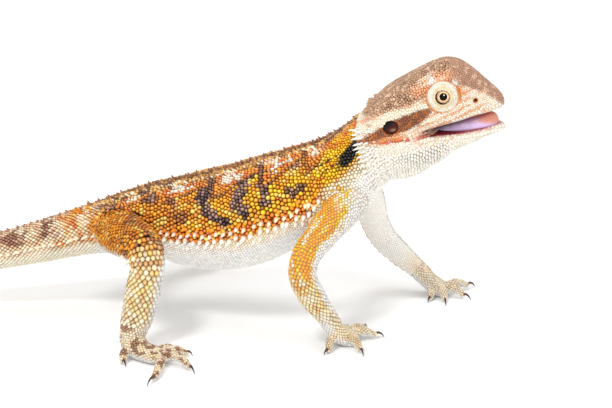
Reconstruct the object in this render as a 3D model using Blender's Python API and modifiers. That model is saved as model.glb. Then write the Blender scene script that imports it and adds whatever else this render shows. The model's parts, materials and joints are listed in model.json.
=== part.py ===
"""A young bearded dragon, life size, standing with its mouth a little open.

The flesh is modelled whole from lofts and balls, melted into one surface, and then parted with thin
cuts where a person would name the parts. Spines are cones fused to the node that they grow from.
Sizes are in millimetres times MM, in the animal's standing pose: +X runs towards the head, +Y towards
its left side and +Z up, with the floor at zero.
"""

import math
import random

import bmesh
import bpy
import numpy as np
from mathutils import Matrix, Vector
from mathutils.bvhtree import BVHTree

MM = 0.001
GAP = 0.3 * MM
SEED = 7

# The pose frame's own zero is under the middle of the trunk; this moves it under the middle of the whole.
CENTRE_SHIFT = Vector((86.87, -5.82, 0.0)) * MM

# Head frame: where its origin lies, and how the head is turned.
HEAD_AT = Vector((31.0, -6.1, 61.6)) * MM
HEAD_PITCH = math.radians(16.0)
HEAD_YAW = math.radians(-8.6)

EYE_AT = (12.6, 6.1, 9.4)
EYE_RADIUS = 3.4
OPENING_RADII = (2.4, 2.15)
EAR_AT = (-3.6, 13.0, 5.0)
EAR_RADII = (2.6, 1.7, 2.0)
NOSTRIL_AT = (21.4, 6.6, 5.3)
NOSTRIL_RADIUS = 0.65
TONGUE_AT = (11.5, 0, -2.0)
TONGUE_RADII = (10.5, 4.6, 1.0)

# Muscles, brows and lids that swell the head: name, place, radii, and whether there are two.
HEAD_BALLS = (
    ("pouch", (-4.0, 0, -6.5), (10.8, 9.4, 7.0), False),
    ("jowl", (-5.0, 7.6, 2.0), (10.4, 5.6, 7.6), True),
    ("brow", (12.0, 6.5, 12.6), (8.8, 3.0, 2.5), True),
    ("bridge", (18.4, 4.3, 8.9), (6.6, 2.3, 2.5), True),
    ("lid", (12.6, 6.2, 9.4), (4.6, 4.6, 4.3), True),
    ("temple", (2.4, 7.6, 11.0), (8.6, 3.8, 3.4), True),
    ("muzzle", (20.4, 3.6, 5.6), (5.4, 2.9, 3.2), True),
)

# Tail and trunk, from the tail's tip to inside the head: x, y, z, half width, height above and below.
TRUNK = (
    (-232, -22, 0.8, 0.5, 0.5, 0.8),
    (-222, -20, 1.1, 1.1, 1.1, 1.2),
    (-200, -13, 1.8, 1.8, 1.8, 1.9),
    (-178, -4, 3.0, 2.6, 2.5, 2.6),
    (-155, 3, 6.2, 3.5, 3.3, 3.3),
    (-135, 6.5, 9.6, 4.2, 3.9, 3.9),
    (-115, 8.5, 13.6, 5.0, 4.6, 4.5),
    (-94, 9, 18.5, 6.0, 5.3, 5.2),
    (-81.4, 9.6, 21.4, 7.2, 6.1, 6.1),
    (-71.2, 9.6, 24.1, 8.7, 6.7, 6.7),
    (-63, 9, 26.4, 10.2, 7.3, 7.7),
    (-55.2, 8, 28.4, 12.0, 8.3, 9.6),
    (-44.4, 6.5, 30.8, 14.4, 9.9, 13.0),
    (-32.1, 4.5, 32.0, 17.9, 12.1, 16.6),
    (-18.4, 2.5, 34.8, 20.0, 13.0, 17.5),
    (-7.8, 1, 38.8, 20.0, 12.6, 16.2),
    (1.2, 0, 42.2, 18.4, 12.2, 14.8),
    (10.1, -1.5, 46.7, 15.4, 11.4, 12.2),
    (17, -3, 52.2, 12.6, 10.7, 10.4),
    (22, -4, 57.3, 11.6, 10.0, 9.6),
    (26, -5, 61, 10.6, 8.6, 8.6),
)

# Skull with the upper jaw, and lower jaw, in the head frame: x, z of the widest line, half width,
# height above and below it, and how square the section is above it.
SKULL = (
    (-15.5, 2.4, 10.2, 4.6, 7.0, 2.2),
    (-12, 2.8, 11.8, 6.4, 7.0, 2.2),
    (-8, 3.4, 12.8, 8.6, 6.4, 2.3),
    (-3.5, 4.1, 13.0, 10.2, 5.2, 2.5),
    (1.5, 4.6, 12.2, 11.2, 4.5, 2.8),
    (6.5, 4.9, 11.0, 12.2, 4.6, 3.0),
    (11, 4.9, 9.8, 13.3, 4.5, 2.9),
    (15.5, 4.5, 8.8, 13.6, 4.1, 2.5),
    (19, 4.0, 7.7, 11.8, 3.4, 2.1),
    (22.5, 3.4, 6.3, 8.8, 2.8, 1.9),
    (25.5, 2.9, 4.9, 5.6, 2.3, 1.9),
    (27.6, 2.5, 3.3, 3.2, 1.8, 2.0),
    (28.5, 2.4, 1.6, 1.6, 1.1, 2.0),
)
JAW = (
    (-13, -5.0, 9.0, 4.6, 5.4, 4.0),
    (-7, -4.4, 11.4, 4.6, 6.5, 4.0),
    (-1, -4.0, 11.7, 4.2, 7.0, 4.0),
    (5, -4.1, 10.6, 3.2, 6.9, 4.0),
    (11, -4.5, 8.9, 2.6, 4.0, 4.0),
    (16, -4.9, 7.3, 2.1, 2.8, 4.0),
    (20, -5.2, 5.8, 1.8, 1.8, 4.0),
    (23.5, -5.3, 4.2, 1.7, 1.2, 4.0),
    (26, -5.4, 2.6, 1.3, 0.8, 4.0),
    (27, -5.4, 1.2, 0.7, 0.5, 4.0),
)

# Limb bones: x, y, z, half width across the joint, half depth. The hand or foot starts at the last row.
LIMBS = {}
LIMBS["arm_right"] = (
    (15, -6, 45, 7.0, 7.0),
    (11.5, -13.5, 41, 5.9, 6.4),
    (4.2, -20.8, 33.6, 4.5, 5.0),
    (-0.6, -26.2, 27.6, 4.0, 4.1),
    (-0.9, -26.9, 23.6, 4.0, 4.0),
    (1.8, -26, 17, 3.8, 3.8),
    (5.9, -24.3, 10.2, 2.9, 3.0),
    (7.7, -23.2, 7.0, 2.9, 2.9),
)
LIMBS["arm_left"] = (
    (15, 3, 45, 7.0, 7.0),
    (16.9, 10.5, 39.6, 5.6, 6.2),
    (19.8, 17.6, 30.8, 4.5, 4.9),
    (21.9, 22.8, 22.8, 4.2, 4.3),
    (23.8, 24.0, 18.6, 4.2, 4.2),
    (29.0, 23.2, 13.2, 3.8, 3.8),
    (35.0, 21.6, 8.2, 2.9, 3.0),
    (37.2, 21.2, 6.0, 2.9, 2.9),
)
LIMBS["leg_right"] = (
    (-56.5, 2, 28.5, 7.6, 8.2),
    (-54, -7.5, 29.2, 6.6, 7.6),
    (-50, -16.5, 30.2, 5.7, 6.6),
    (-46.6, -23.4, 29.6, 5.0, 5.4),
    (-46.0, -25.2, 25.6, 4.7, 5.0),
    (-47.4, -26.2, 18.2, 4.6, 5.0),
    (-49.6, -27.6, 9.2, 3.8, 4.3),
    (-50.6, -28.4, 6.2, 3.5, 3.8),
)
LIMBS["leg_left"] = (
    (-56.5, 15, 26.0, 7.4, 7.8),
    (-53.0, 22.8, 25.6, 6.4, 7.2),
    (-48.2, 30.2, 25.0, 5.6, 6.4),
    (-43.8, 36.4, 24.2, 5.0, 5.4),
    (-41.6, 38.8, 21.2, 4.7, 4.8),
    (-36.6, 42.0, 15.2, 4.5, 4.5),
    (-31.6, 45.6, 8.2, 3.7, 3.8),
    (-30.4, 46.6, 5.8, 3.5, 3.5),
)

# Palms and soles: x, y, z, half width, half height, from the wrist or ankle to the knuckles.
PALMS = {
    "hand_right": (
        (5.9, -24.3, 10.2, 2.9, 3.0),
        (8.0, -23.0, 6.0, 3.2, 2.7),
        (10.4, -21.6, 2.9, 3.9, 2.6),
        (12.6, -20.4, 1.8, 4.2, 2.2),
        (14.2, -19.6, 1.4, 3.2, 1.6),
    ),
    "hand_left": (
        (35.0, 21.6, 8.2, 2.9, 3.0),
        (37.8, 21.0, 5.4, 3.2, 2.7),
        (40.8, 20.6, 2.9, 3.9, 2.6),
        (43.0, 20.2, 1.8, 4.2, 2.2),
        (44.6, 20.0, 1.4, 3.2, 1.6),
    ),
    "foot_right": (
        (-49.6, -27.6, 9.2, 3.8, 4.3),
        (-50.6, -29.0, 4.6, 3.6, 3.8),
        (-48.6, -31.6, 2.8, 3.6, 3.1),
        (-44.4, -34.4, 2.0, 3.9, 2.5),
        (-40.6, -36.2, 1.5, 3.4, 1.8),
    ),
    "foot_left": (
        (-31.6, 45.6, 8.2, 3.7, 3.8),
        (-30.4, 47.0, 4.4, 3.5, 3.6),
        (-27.2, 48.8, 2.8, 3.6, 3.1),
        (-23.6, 51.2, 2.0, 3.9, 2.5),
        (-20.6, 53.2, 1.5, 3.4, 1.8),
    ),
}

# Digits: root, knuckle, end of the flesh and claw tip on the floor, as x, y, z.
DIGITS = {
    "hand_right": (
        ((10.0, -18.6, 2.1), (11.6, -14.8, 2.3), (12.4, -11.6, 1.0), (12.6, -8.2, 0.1)),
        ((12.0, -18.6, 2.1), (15.4, -14.6, 2.7), (17.3, -11.3, 1.1), (18.4, -8.0, 0.1)),
        ((12.8, -20.0, 2.3), (16.8, -18.4, 3.0), (20.4, -17.0, 1.4), (23.3, -16.0, 0.1)),
        ((11.8, -22.0, 2.3), (14.2, -25.4, 2.9), (15.9, -28.4, 1.3), (16.7, -31.4, 0.1)),
        ((8.4, -23.8, 3.5), (6.9, -26.6, 2.7), (6.6, -28.4, 1.0), (5.2, -30.6, 0.1)),
    ),
    "hand_left": (
        ((40.2, 18.4, 2.1), (39.4, 16.6, 2.3), (38.9, 14.8, 1.0), (37.9, 12.2, 0.1)),
        ((42.0, 18.8, 2.1), (42.9, 15.6, 2.8), (43.2, 12.9, 1.2), (43.4, 9.6, 0.1)),
        ((43.6, 19.6, 2.3), (46.6, 18.0, 3.0), (49.0, 16.4, 1.4), (51.6, 14.8, 0.1)),
        ((43.6, 21.2, 2.3), (47.8, 23.2, 2.9), (51.0, 25.2, 1.4), (53.8, 27.4, 0.1)),
        ((40.6, 22.6, 2.5), (41.6, 26.2, 2.5), (42.0, 29.0, 1.0), (42.8, 32.0, 0.1)),
    ),
    "foot_right": (
        ((-43.4, -32.6, 2.1), (-39.8, -29.8, 2.1), (-38.0, -28.4, 1.0), (-36.4, -26.6, 0.1)),
        ((-41.6, -34.4, 2.1), (-37.4, -32.4, 2.7), (-35.0, -31.4, 1.3), (-33.0, -30.6, 0.1)),
        ((-40.8, -36.2, 2.1), (-36.4, -38.6, 2.9), (-33.4, -41.4, 1.3), (-31.6, -44.8, 0.1)),
        ((-42.0, -37.0, 2.1), (-41.6, -43.2, 2.7), (-42.8, -49.2, 1.2), (-44.6, -53.4, 0.1)),
        ((-50.2, -31.8, 2.7), (-52.4, -34.8, 2.7), (-52.8, -36.8, 1.2), (-51.6, -39.6, 0.1)),
    ),
    "foot_left": (
        ((-24.2, 48.6, 2.1), (-20.8, 48.6, 2.1), (-18.4, 49.2, 1.0), (-15.6, 50.2, 0.1)),
        ((-21.6, 51.2, 2.1), (-17.8, 51.6, 2.7), (-14.6, 52.4, 1.3), (-11.4, 53.4, 0.1)),
        ((-20.8, 53.0, 2.1), (-16.0, 55.4, 2.9), (-11.8, 57.6, 1.3), (-8.6, 59.4, 0.1)),
        ((-21.4, 54.2, 2.1), (-16.4, 58.8, 2.7), (-11.0, 62.6, 1.2), (-6.8, 65.0, 0.1)),
        ((-29.0, 50.4, 2.7), (-28.6, 54.2, 2.7), (-27.4, 57.2, 1.2), (-25.6, 60.0, 0.1)),
    ),
}
DIGIT_RADII = (1.6, 1.45, 1.15)
CLAW_RADII = (0.85, 0.62, 0.16)
CLAW_LIFT = 0.7

FINISH_OF = {
    "head": "face",
    "lower_jaw": "pale",
    "neck": "back",
    "torso": "back",
    "tail": "back",
    "eye": "eye",
    "ear": "ear",
    "tongue": "tongue",
}
EARDRUM_RADII = (1.9, 0.4, 1.4)
FLESH_TRIANGLES = 7000

# Where the thin cuts go: across the trunk and tail at x, in the head frame, at the limb roots, and
# after these rows of every limb.
TRUNK_CUTS = ((-186, 5.0), (-143, 7.0), (-104, 8.0), (-68, 12.0), (15.6, 16.0))
NECK_CUT = (-11.2, 0, -1)
JAW_CUT = ((-14, -20, -0.8), (12.0, 20, -0.5))
JAW_CUT_TILT = 0.0
LIMB_ROOT_CUTS = (
    ((6.5, -18.5, 36.3), (-0.1, -0.8, -0.55), 9.0),
    ((18.4, 14.4, 36.2), (0.3, 0.8, -0.5), 7.5),
    ((-53, -10.6, 29.4), (0, -1, 0), 9.0),
    ((-51.6, 25.2, 25.4), (0, 1, 0), 9.0),
)
LIMB_CUTS = ((3, 6.5), (6, 5.0))

ANCHORS = {
    "neck": (20, -4, 55),
    "torso": (-25, 4, 34),
    "tail_1": (-85, 9, 20),
    "tail_2": (-122, 8, 12),
    "tail_3": (-163, 1, 5),
    "tail_4": (-208, -15, 1),
}

# Spines on the trunk and tail, both sides: x from and to, pitch, degrees up from the side, height,
# radius at the root, and how far they lean back.
TRUNK_SPINES = (
    (-45, 3, 3.1, -7, 2.4, 0.8, 0.55),
    (-43, -4, 3.1, -19, 1.8, 0.75, 0.6),
    (-64, 13, 4.2, 84, 1.5, 0.7, 0.5),
    (-62, 11, 4.2, 66, 1.2, 0.7, 0.6),
    (-110, -71, 4.6, 82, 1.1, 0.6, 0.7),
    (-180, -116, 6.4, 80, 0.8, 0.5, 0.8),
    (-100, -70, 3.8, 4, 1.4, 0.7, 0.6),
    (-182, -107, 6.0, 6, 0.8, 0.5, 0.8),
    (14.5, 19.5, 2.4, 20, 2.0, 0.75, 0.7),
    (14.5, 19.5, 2.4, 2, 2.2, 0.75, 0.7),
    (15.0, 21.0, 3.0, 80, 1.4, 0.7, 0.5),
)

# Spines on the head in its own frame: x, first and last degrees up from the side, number, height and
# radius. They stand round a line at the height of the mouth.
HEAD_SPINES = (
    (-9.4, 28, 88, 5, 1.9, 0.75),
    (-6.4, 36, 70, 3, 1.3, 0.7),
    (-9.6, -72, -12, 5, 2.4, 0.8),
    (-6.6, -80, -26, 5, 2.2, 0.8),
    (-3.4, -72, -30, 4, 1.9, 0.75),
    (-0.2, -80, -36, 4, 1.6, 0.7),
    (3.2, -72, -44, 3, 1.3, 0.65),
)
SPINE_SUNK = 0.7
SPINE_SIDES = 4
VARIATION = 0.18

# Colours and roughness of the plain materials.
FINISHES = {
    "back": ((0.45, 0.21, 0.06), 0.5),
    "face": ((0.5, 0.3, 0.17), 0.5),
    "pale": ((0.72, 0.62, 0.48), 0.55),
    "limb": ((0.6, 0.31, 0.1), 0.5),
    "tongue": ((0.55, 0.28, 0.4), 0.3),
    "eye": ((0.06, 0.03, 0.015), 0.08),
    "ear": ((0.13, 0.05, 0.05), 0.3),
}


def finish_of(name):
    for start, chosen in FINISH_OF.items():
        if name.startswith(start):
            return chosen
    return "limb"


def clear_scene():
    for obj in list(bpy.data.objects):
        bpy.data.objects.remove(obj, do_unlink=True)


def collection(name):
    made = bpy.data.collections.new(name)
    bpy.context.scene.collection.children.link(made)
    return made


def finish(name):
    found = bpy.data.materials.get(name)
    if found:
        return found
    colour, roughness = FINISHES[name]
    made = bpy.data.materials.new(name)
    made.use_nodes = True
    shader = made.node_tree.nodes["Principled BSDF"]
    shader.inputs["Base Color"].default_value = (*colour, 1.0)
    shader.inputs["Roughness"].default_value = roughness
    return made


def mesh_object(name, work, into):
    """An object from a bmesh, with its faces turned outwards."""
    bmesh.ops.recalc_face_normals(work, faces=work.faces)
    mesh = bpy.data.meshes.new(name)
    work.to_mesh(mesh)
    work.free()
    made = bpy.data.objects.new(name, mesh)
    into.objects.link(made)
    return made


def smooth_rows(rows, steps):
    """The rows read smoothly at evenly spaced steps along their first three columns."""
    rows = np.array(rows, float)
    at = np.concatenate([[0.0], np.cumsum(np.linalg.norm(np.diff(rows[:, :3], axis=0), axis=1))])
    slopes = np.gradient(rows, at, axis=0)
    wanted = np.linspace(0.0, at[-1], steps)
    k = np.clip(np.searchsorted(at, wanted, side="right") - 1, 0, len(at) - 2)
    span = (at[k + 1] - at[k])[:, None]
    t = (wanted - at[k])[:, None] / span
    return (
        (1 + 2 * t) * (1 - t) ** 2 * rows[k]
        + t * (1 - t) ** 2 * span * slopes[k]
        + t * t * (3 - 2 * t) * rows[k + 1]
        + t * t * (t - 1) * span * slopes[k + 1]
    )


def ring(centre, side, up, half_width, above, below, squareness, sides):
    """One section: a superellipse above and another below its widest line."""
    points = []
    for k in range(sides):
        angle = math.tau * k / sides
        c, s = math.cos(angle), math.sin(angle)
        reach, square = (above, squareness[0]) if s > 0 else (below, squareness[1])
        across = half_width * math.copysign(abs(c) ** (2 / square), c)
        height = reach * math.copysign(abs(s) ** (2 / square), s)
        points.append(centre + side * across + up * height)
    return points


def loft(name, rings, into):
    """A closed tube through rings of one size."""
    work = bmesh.new()
    loops = [[work.verts.new(p) for p in points] for points in rings]
    for first, second in zip(loops, loops[1:]):
        for k in range(len(first)):
            n = (k + 1) % len(first)
            work.faces.new((first[k], first[n], second[n], second[k]))
    work.faces.new(loops[0])
    work.faces.new(loops[-1])
    return mesh_object(name, work, into)


def path_rings(rows, steps, sides, up_hint, squareness=(2.0, 2.0)):
    """Rings square to a path of rows x, y, z, half width, above and, if it is given, below."""
    read = smooth_rows(rows, steps)
    tangents = np.gradient(read[:, :3], axis=0)
    rings = []
    for row, tangent in zip(read, tangents):
        along = Vector(tangent).normalized()
        up = (up_hint - along * up_hint.dot(along)).normalized()
        side = up.cross(along)
        half_width, above, below = row[3], row[4], row[-1]
        centre = Vector(row[:3]) * MM
        rings.append(
            ring(centre, side, up, half_width * MM, above * MM, below * MM, squareness, sides)
        )
    return rings


def head_matrix():
    return (
        Matrix.Translation(HEAD_AT)
        @ Matrix.Rotation(HEAD_YAW, 4, "Z")
        @ Matrix.Rotation(-HEAD_PITCH, 4, "Y")
    )


def head_point(x, y, z):
    return head_matrix() @ (Vector((x, y, z)) * MM)


def head_direction(x, y, z):
    return (head_matrix().to_3x3() @ Vector((x, y, z))).normalized()


def head_rings(rows, steps, sides, square_below):
    """Rings square to the head's own length."""
    side, up = head_direction(0, 1, 0), head_direction(0, 0, 1)
    read = smooth_rows([(x, 0, z, *rest) for x, z, *rest in rows], steps)
    rings = []
    for x, _, z, width, above, below, square in read:
        sizes = (width * MM, above * MM, below * MM)
        rings.append(ring(head_point(x, 0, z), side, up, *sizes, (square, square_below), sides))
    return rings


def ball(name, matrix, radii, into, segments=24):
    work = bmesh.new()
    bmesh.ops.create_uvsphere(
        work, u_segments=segments, v_segments=segments // 2, radius=1.0,
        matrix=matrix @ Matrix.Diagonal((*[r * MM for r in radii], 1.0)),
    )
    return mesh_object(name, work, into)


def head_ball(name, at, radii, into, segments=24):
    return ball(name, head_matrix() @ Matrix.Translation(Vector(at) * MM), radii, into, segments)


def flesh_pieces(into):
    """Every closed form of the animal's flesh, each overlapping the next."""
    loft("trunk", path_rings(TRUNK, 110, 28, Vector((0, 0, 1))), into)
    loft("skull", head_rings(SKULL, 44, 36, 4.0), into)
    loft("jaw", head_rings(JAW, 42, 36, 2.2), into)
    for name, at, radii, paired in HEAD_BALLS:
        for side in ((1, -1) if paired else (0,)):
            x, y, z = at
            head_ball(f"{name}_{side}", (x, y * side, z), radii, into)
    for name, rows in LIMBS.items():
        hint = Vector((1, 0, 0)) if "leg" in name else Vector((0.5, 0, 0.3))
        loft(name, path_rings(rows, 34, 18, hint), into)
    for name, rows in PALMS.items():
        loft(name, path_rings(rows, 16, 16, Vector((0.3, 0, 1))), into)
        for digit in DIGITS[name]:
            rows = [(*at, r, r) for at, r in zip(digit, DIGIT_RADII)]
            loft(name + "_digit", path_rings(rows, 10, 10, Vector((0, 0, 1))), into)
            for at, r in zip(digit[1:], DIGIT_RADII[1:]):
                ball("joint", Matrix.Translation(Vector(at) * MM), (r, r, r), into, 10)


def join_meshes(name, pieces, into):
    """One object from the evaluated meshes of several; the pieces are removed."""
    graph = bpy.context.evaluated_depsgraph_get()
    work = bmesh.new()
    for piece in pieces:
        mesh = bpy.data.meshes.new_from_object(piece.evaluated_get(graph))
        mesh.transform(piece.matrix_world)
        work.from_mesh(mesh)
        bpy.data.meshes.remove(mesh)
    for piece in pieces:
        bpy.data.objects.remove(piece, do_unlink=True)
    mesh = bpy.data.meshes.new(name)
    work.to_mesh(mesh)
    work.free()
    made = bpy.data.objects.new(name, mesh)
    into.objects.link(made)
    return made


def apply_modifiers(obj):
    bpy.context.view_layer.update()
    graph = bpy.context.evaluated_depsgraph_get()
    mesh = bpy.data.meshes.new_from_object(obj.evaluated_get(graph))
    obj.modifiers.clear()
    obj.data = mesh


def melted(name, voxel, smoothing, triangles, into):
    """The flesh as one smooth closed surface of about this many triangles."""
    scrap = collection(name + "_forms")
    flesh_pieces(scrap)
    whole = join_meshes(name, list(scrap.objects), into)
    bpy.data.collections.remove(scrap)
    remesh = whole.modifiers.new("melt", "REMESH")
    remesh.mode = "VOXEL"
    remesh.voxel_size = voxel
    smooth = whole.modifiers.new("smooth", "SMOOTH")
    smooth.factor = 0.5
    smooth.iterations = smoothing
    apply_modifiers(whole)
    thin = whole.modifiers.new("thin", "DECIMATE")
    thin.ratio = triangles / (2 * len(whole.data.polygons))
    thin.use_collapse_triangulate = True
    apply_modifiers(whole)
    return whole


def boolean(obj, cutters, operation, solver="EXACT"):
    """Cuts obj by a collection's objects, or joins them to it, and removes them."""
    change = obj.modifiers.new(operation.lower(), "BOOLEAN")
    change.operation = operation
    change.operand_type = "COLLECTION"
    change.collection = cutters
    change.solver = solver
    apply_modifiers(obj)
    for piece in list(cutters.objects):
        bpy.data.objects.remove(piece, do_unlink=True)
    bpy.data.collections.remove(cutters)


def loose_parts(obj):
    """The groups of faces of obj that no edge joins, as lists of face numbers."""
    work = bmesh.new()
    work.from_mesh(obj.data)
    seen, groups = set(), []
    for face in work.faces:
        if face in seen:
            continue
        group, stack = [], [face]
        seen.add(face)
        while stack:
            here = stack.pop()
            group.append(here.index)
            for edge in here.edges:
                for other in edge.link_faces:
                    if other not in seen:
                        seen.add(other)
                        stack.append(other)
        groups.append(group)
    work.free()
    return groups


def only_faces(mesh, kept, name):
    """A mesh of just these faces."""
    work = bmesh.new()
    work.from_mesh(mesh)
    kept = set(kept)
    bmesh.ops.delete(work, geom=[f for f in work.faces if f.index not in kept], context="FACES")
    bmesh.ops.triangulate(work, faces=work.faces)
    made = bpy.data.meshes.new(name)
    work.to_mesh(made)
    work.free()
    return made


def parted(flesh, anchors, into):
    """A node for each loose part, named by the anchor point nearest to its middle."""
    made = []
    for group in loose_parts(flesh):
        mesh = only_faces(flesh.data, group, "part")
        middle = sum((v.co for v in mesh.vertices), Vector()) / len(mesh.vertices)
        name = min(anchors, key=lambda n: (anchors[n] - middle).length)
        made.append((name, len(mesh.polygons), mesh))
    bpy.data.objects.remove(flesh, do_unlink=True)
    nodes = {}
    for name, count, mesh in sorted(made, key=lambda m: -m[1]):
        if name not in nodes:
            mesh.name = name
            nodes[name] = bpy.data.objects.new(name, mesh)
            into.objects.link(nodes[name])
    return nodes


def slab(name, point, normal, half_size, into):
    """A thin plate that parts what it crosses."""
    work = bmesh.new()
    turn = Vector(normal).to_track_quat("Z", "Y").to_matrix().to_4x4()
    size = Matrix.Diagonal((2 * half_size * MM, 2 * half_size * MM, GAP, 1.0))
    bmesh.ops.create_cube(work, size=1.0, matrix=Matrix.Translation(point) @ turn @ size)
    return mesh_object(name, work, into)


def block(name, low, high, matrix, into):
    """A box between two corners of a frame."""
    work = bmesh.new()
    low, high = Vector(low) * MM, Vector(high) * MM
    size = Matrix.Diagonal((*(high - low), 1.0))
    middle = Matrix.Translation((low + high) / 2)
    bmesh.ops.create_cube(work, size=1.0, matrix=matrix @ middle @ size)
    return mesh_object(name, work, into)


def trunk_at(x):
    """Centre and direction of the trunk or tail at x."""
    read = smooth_rows(TRUNK, 240)
    k = int(np.argmin(np.abs(read[:, 0] - x)))
    along = Vector(read[min(k + 1, 239), :3] - read[max(k - 1, 0), :3]).normalized()
    return Vector(read[k, :3]) * MM, along


def cutting_planes():
    """Point, normal and half size of every thin cut but the jaw's."""
    planes = [(*trunk_at(x), half) for x, half in TRUNK_CUTS]
    planes.append((head_point(*NECK_CUT), head_direction(1, 0, 0), 17.0))
    for at, normal, half in LIMB_ROOT_CUTS:
        planes.append((Vector(at) * MM, Vector(normal).normalized(), half))
    for rows in LIMBS.values():
        for k, half in LIMB_CUTS:
            a, b = Vector(rows[k][:3]) * MM, Vector(rows[k + 1][:3]) * MM
            planes.append((a.lerp(b, 0.5), (b - a).normalized(), half))
    return planes


def carve_head(flesh):
    """Eye sockets and their openings, ear cups, nostrils and the hollow for the tongue."""
    cutters = collection("cutters")
    clear = GAP / MM
    for side in (-1, 1):
        x, y, z = EYE_AT
        radius = EYE_RADIUS + clear
        head_ball("socket", (x, y * side, z), (radius, radius, radius), cutters, 18)
        x, y, z = EAR_AT
        head_ball("ear_cup", (x, y * side, z), EAR_RADII, cutters, 14)
        x, y, z = NOSTRIL_AT
        head_ball("nostril", (x, y * side, z), [NOSTRIL_RADIUS] * 3, cutters, 8)
    radii = [r + clear for r in TONGUE_RADII]
    head_ball("tongue_bed", TONGUE_AT, radii, cutters, 16)
    boolean(flesh, cutters, "DIFFERENCE")
    openings = collection("openings")
    for side in (-1, 1):
        x, y, z = EYE_AT
        at = (x + 0.3, (y + EYE_RADIUS) * side, z + 0.1)
        radii = (OPENING_RADII[0], 2.4, OPENING_RADII[1])
        head_ball("eye_opening", at, radii, openings, 14)
    boolean(flesh, openings, "DIFFERENCE")


def part_flesh(flesh):
    """Presses the flesh flat on the floor and parts it with the thin cuts."""
    below = collection("below")
    block("below_floor", (-400, -200, -60), (200, 200, 0), Matrix.Identity(4), below)
    boolean(flesh, below, "DIFFERENCE")
    plates = collection("plates")
    for k, (point, normal, half) in enumerate(cutting_planes()):
        slab(f"plate_{k}", point, normal, half, plates)
    boolean(flesh, plates, "DIFFERENCE")
    hinge = collection("hinge")
    turn = head_matrix() @ Matrix.Rotation(math.radians(JAW_CUT_TILT), 4, "Y")
    block("jaw_plate", JAW_CUT[0], JAW_CUT[1], turn, hinge)
    boolean(flesh, hinge, "DIFFERENCE")


def anchors():
    """A point within each part of the flesh, by name."""
    points = {name: Vector(at) * MM for name, at in ANCHORS.items()}
    points["head"] = head_point(8, 0, 8)
    points["lower_jaw"] = head_point(3, 0, -7)
    for limb, rows in LIMBS.items():
        side = limb.split("_")[1]
        names = ("upper_arm_", "forearm_") if "arm" in limb else ("thigh_", "shank_")
        points[names[0] + side] = Vector(rows[2][:3]) * MM
        points[names[1] + side] = Vector(rows[5][:3]) * MM
    for name, rows in PALMS.items():
        points[name] = Vector(rows[3][:3]) * MM
    return points


def head_extras(into):
    """Eyes, eardrums and tongue, each clear of the flesh around it."""
    made = {}
    for side, tag in ((-1, "right"), (1, "left")):
        x, y, z = EYE_AT
        radii = [EYE_RADIUS] * 3
        made["eye_" + tag] = head_ball("eye_" + tag, (x, y * side, z), radii, into, 16)
        x, y, z = EAR_AT
        at = (x, (y - 0.75) * side, z)
        made["ear_" + tag] = head_ball("ear_" + tag, at, EARDRUM_RADII, into, 10)
    made["tongue"] = head_ball("tongue", TONGUE_AT, TONGUE_RADII, into, 16)
    return made


def spine(root, direction, height, radius, turn, into):
    """A closed pointed cone with its root sunk into the skin."""
    along = direction.normalized()
    side = along.orthogonal().normalized()
    across = along.cross(side)
    work = bmesh.new()
    base = []
    for k in range(SPINE_SIDES):
        angle = turn + math.tau * k / SPINE_SIDES
        out = side * math.cos(angle) + across * math.sin(angle)
        base.append(work.verts.new(root + (out * radius - along * SPINE_SUNK) * MM))
    tip = work.verts.new(root + along * height * MM)
    for k in range(SPINE_SIDES):
        work.faces.new((base[k], base[(k + 1) % SPINE_SIDES], tip))
    work.faces.new(base)
    mesh_object("spine", work, into)


def near_cut(root, tip, planes):
    """Whether a spine would come within reach of a thin cut."""
    for point, normal, half in planes:
        start, end = (root - point).dot(normal), (tip - point).dot(normal)
        reach = (half + 3.0) * MM
        if min(abs(start), abs(end)) < 0.75 * MM or start * end < 0:
            if (root - point).length < reach:
                return True
    return False


def grow(tree, start, outward, back, row, planes, chance, into):
    """One spine where a line from inside the flesh leaves it."""
    hit, normal, _, _ = tree.ray_cast(start, outward)
    if hit is None:
        return
    height, radius, lean = row
    height *= chance.uniform(1 - VARIATION, 1 + VARIATION)
    direction = (normal + back * lean).normalized()
    tip = hit + direction * height * MM
    if not near_cut(hit, tip, planes):
        spine(hit, direction, height, radius, chance.uniform(0, math.tau), into)


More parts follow.
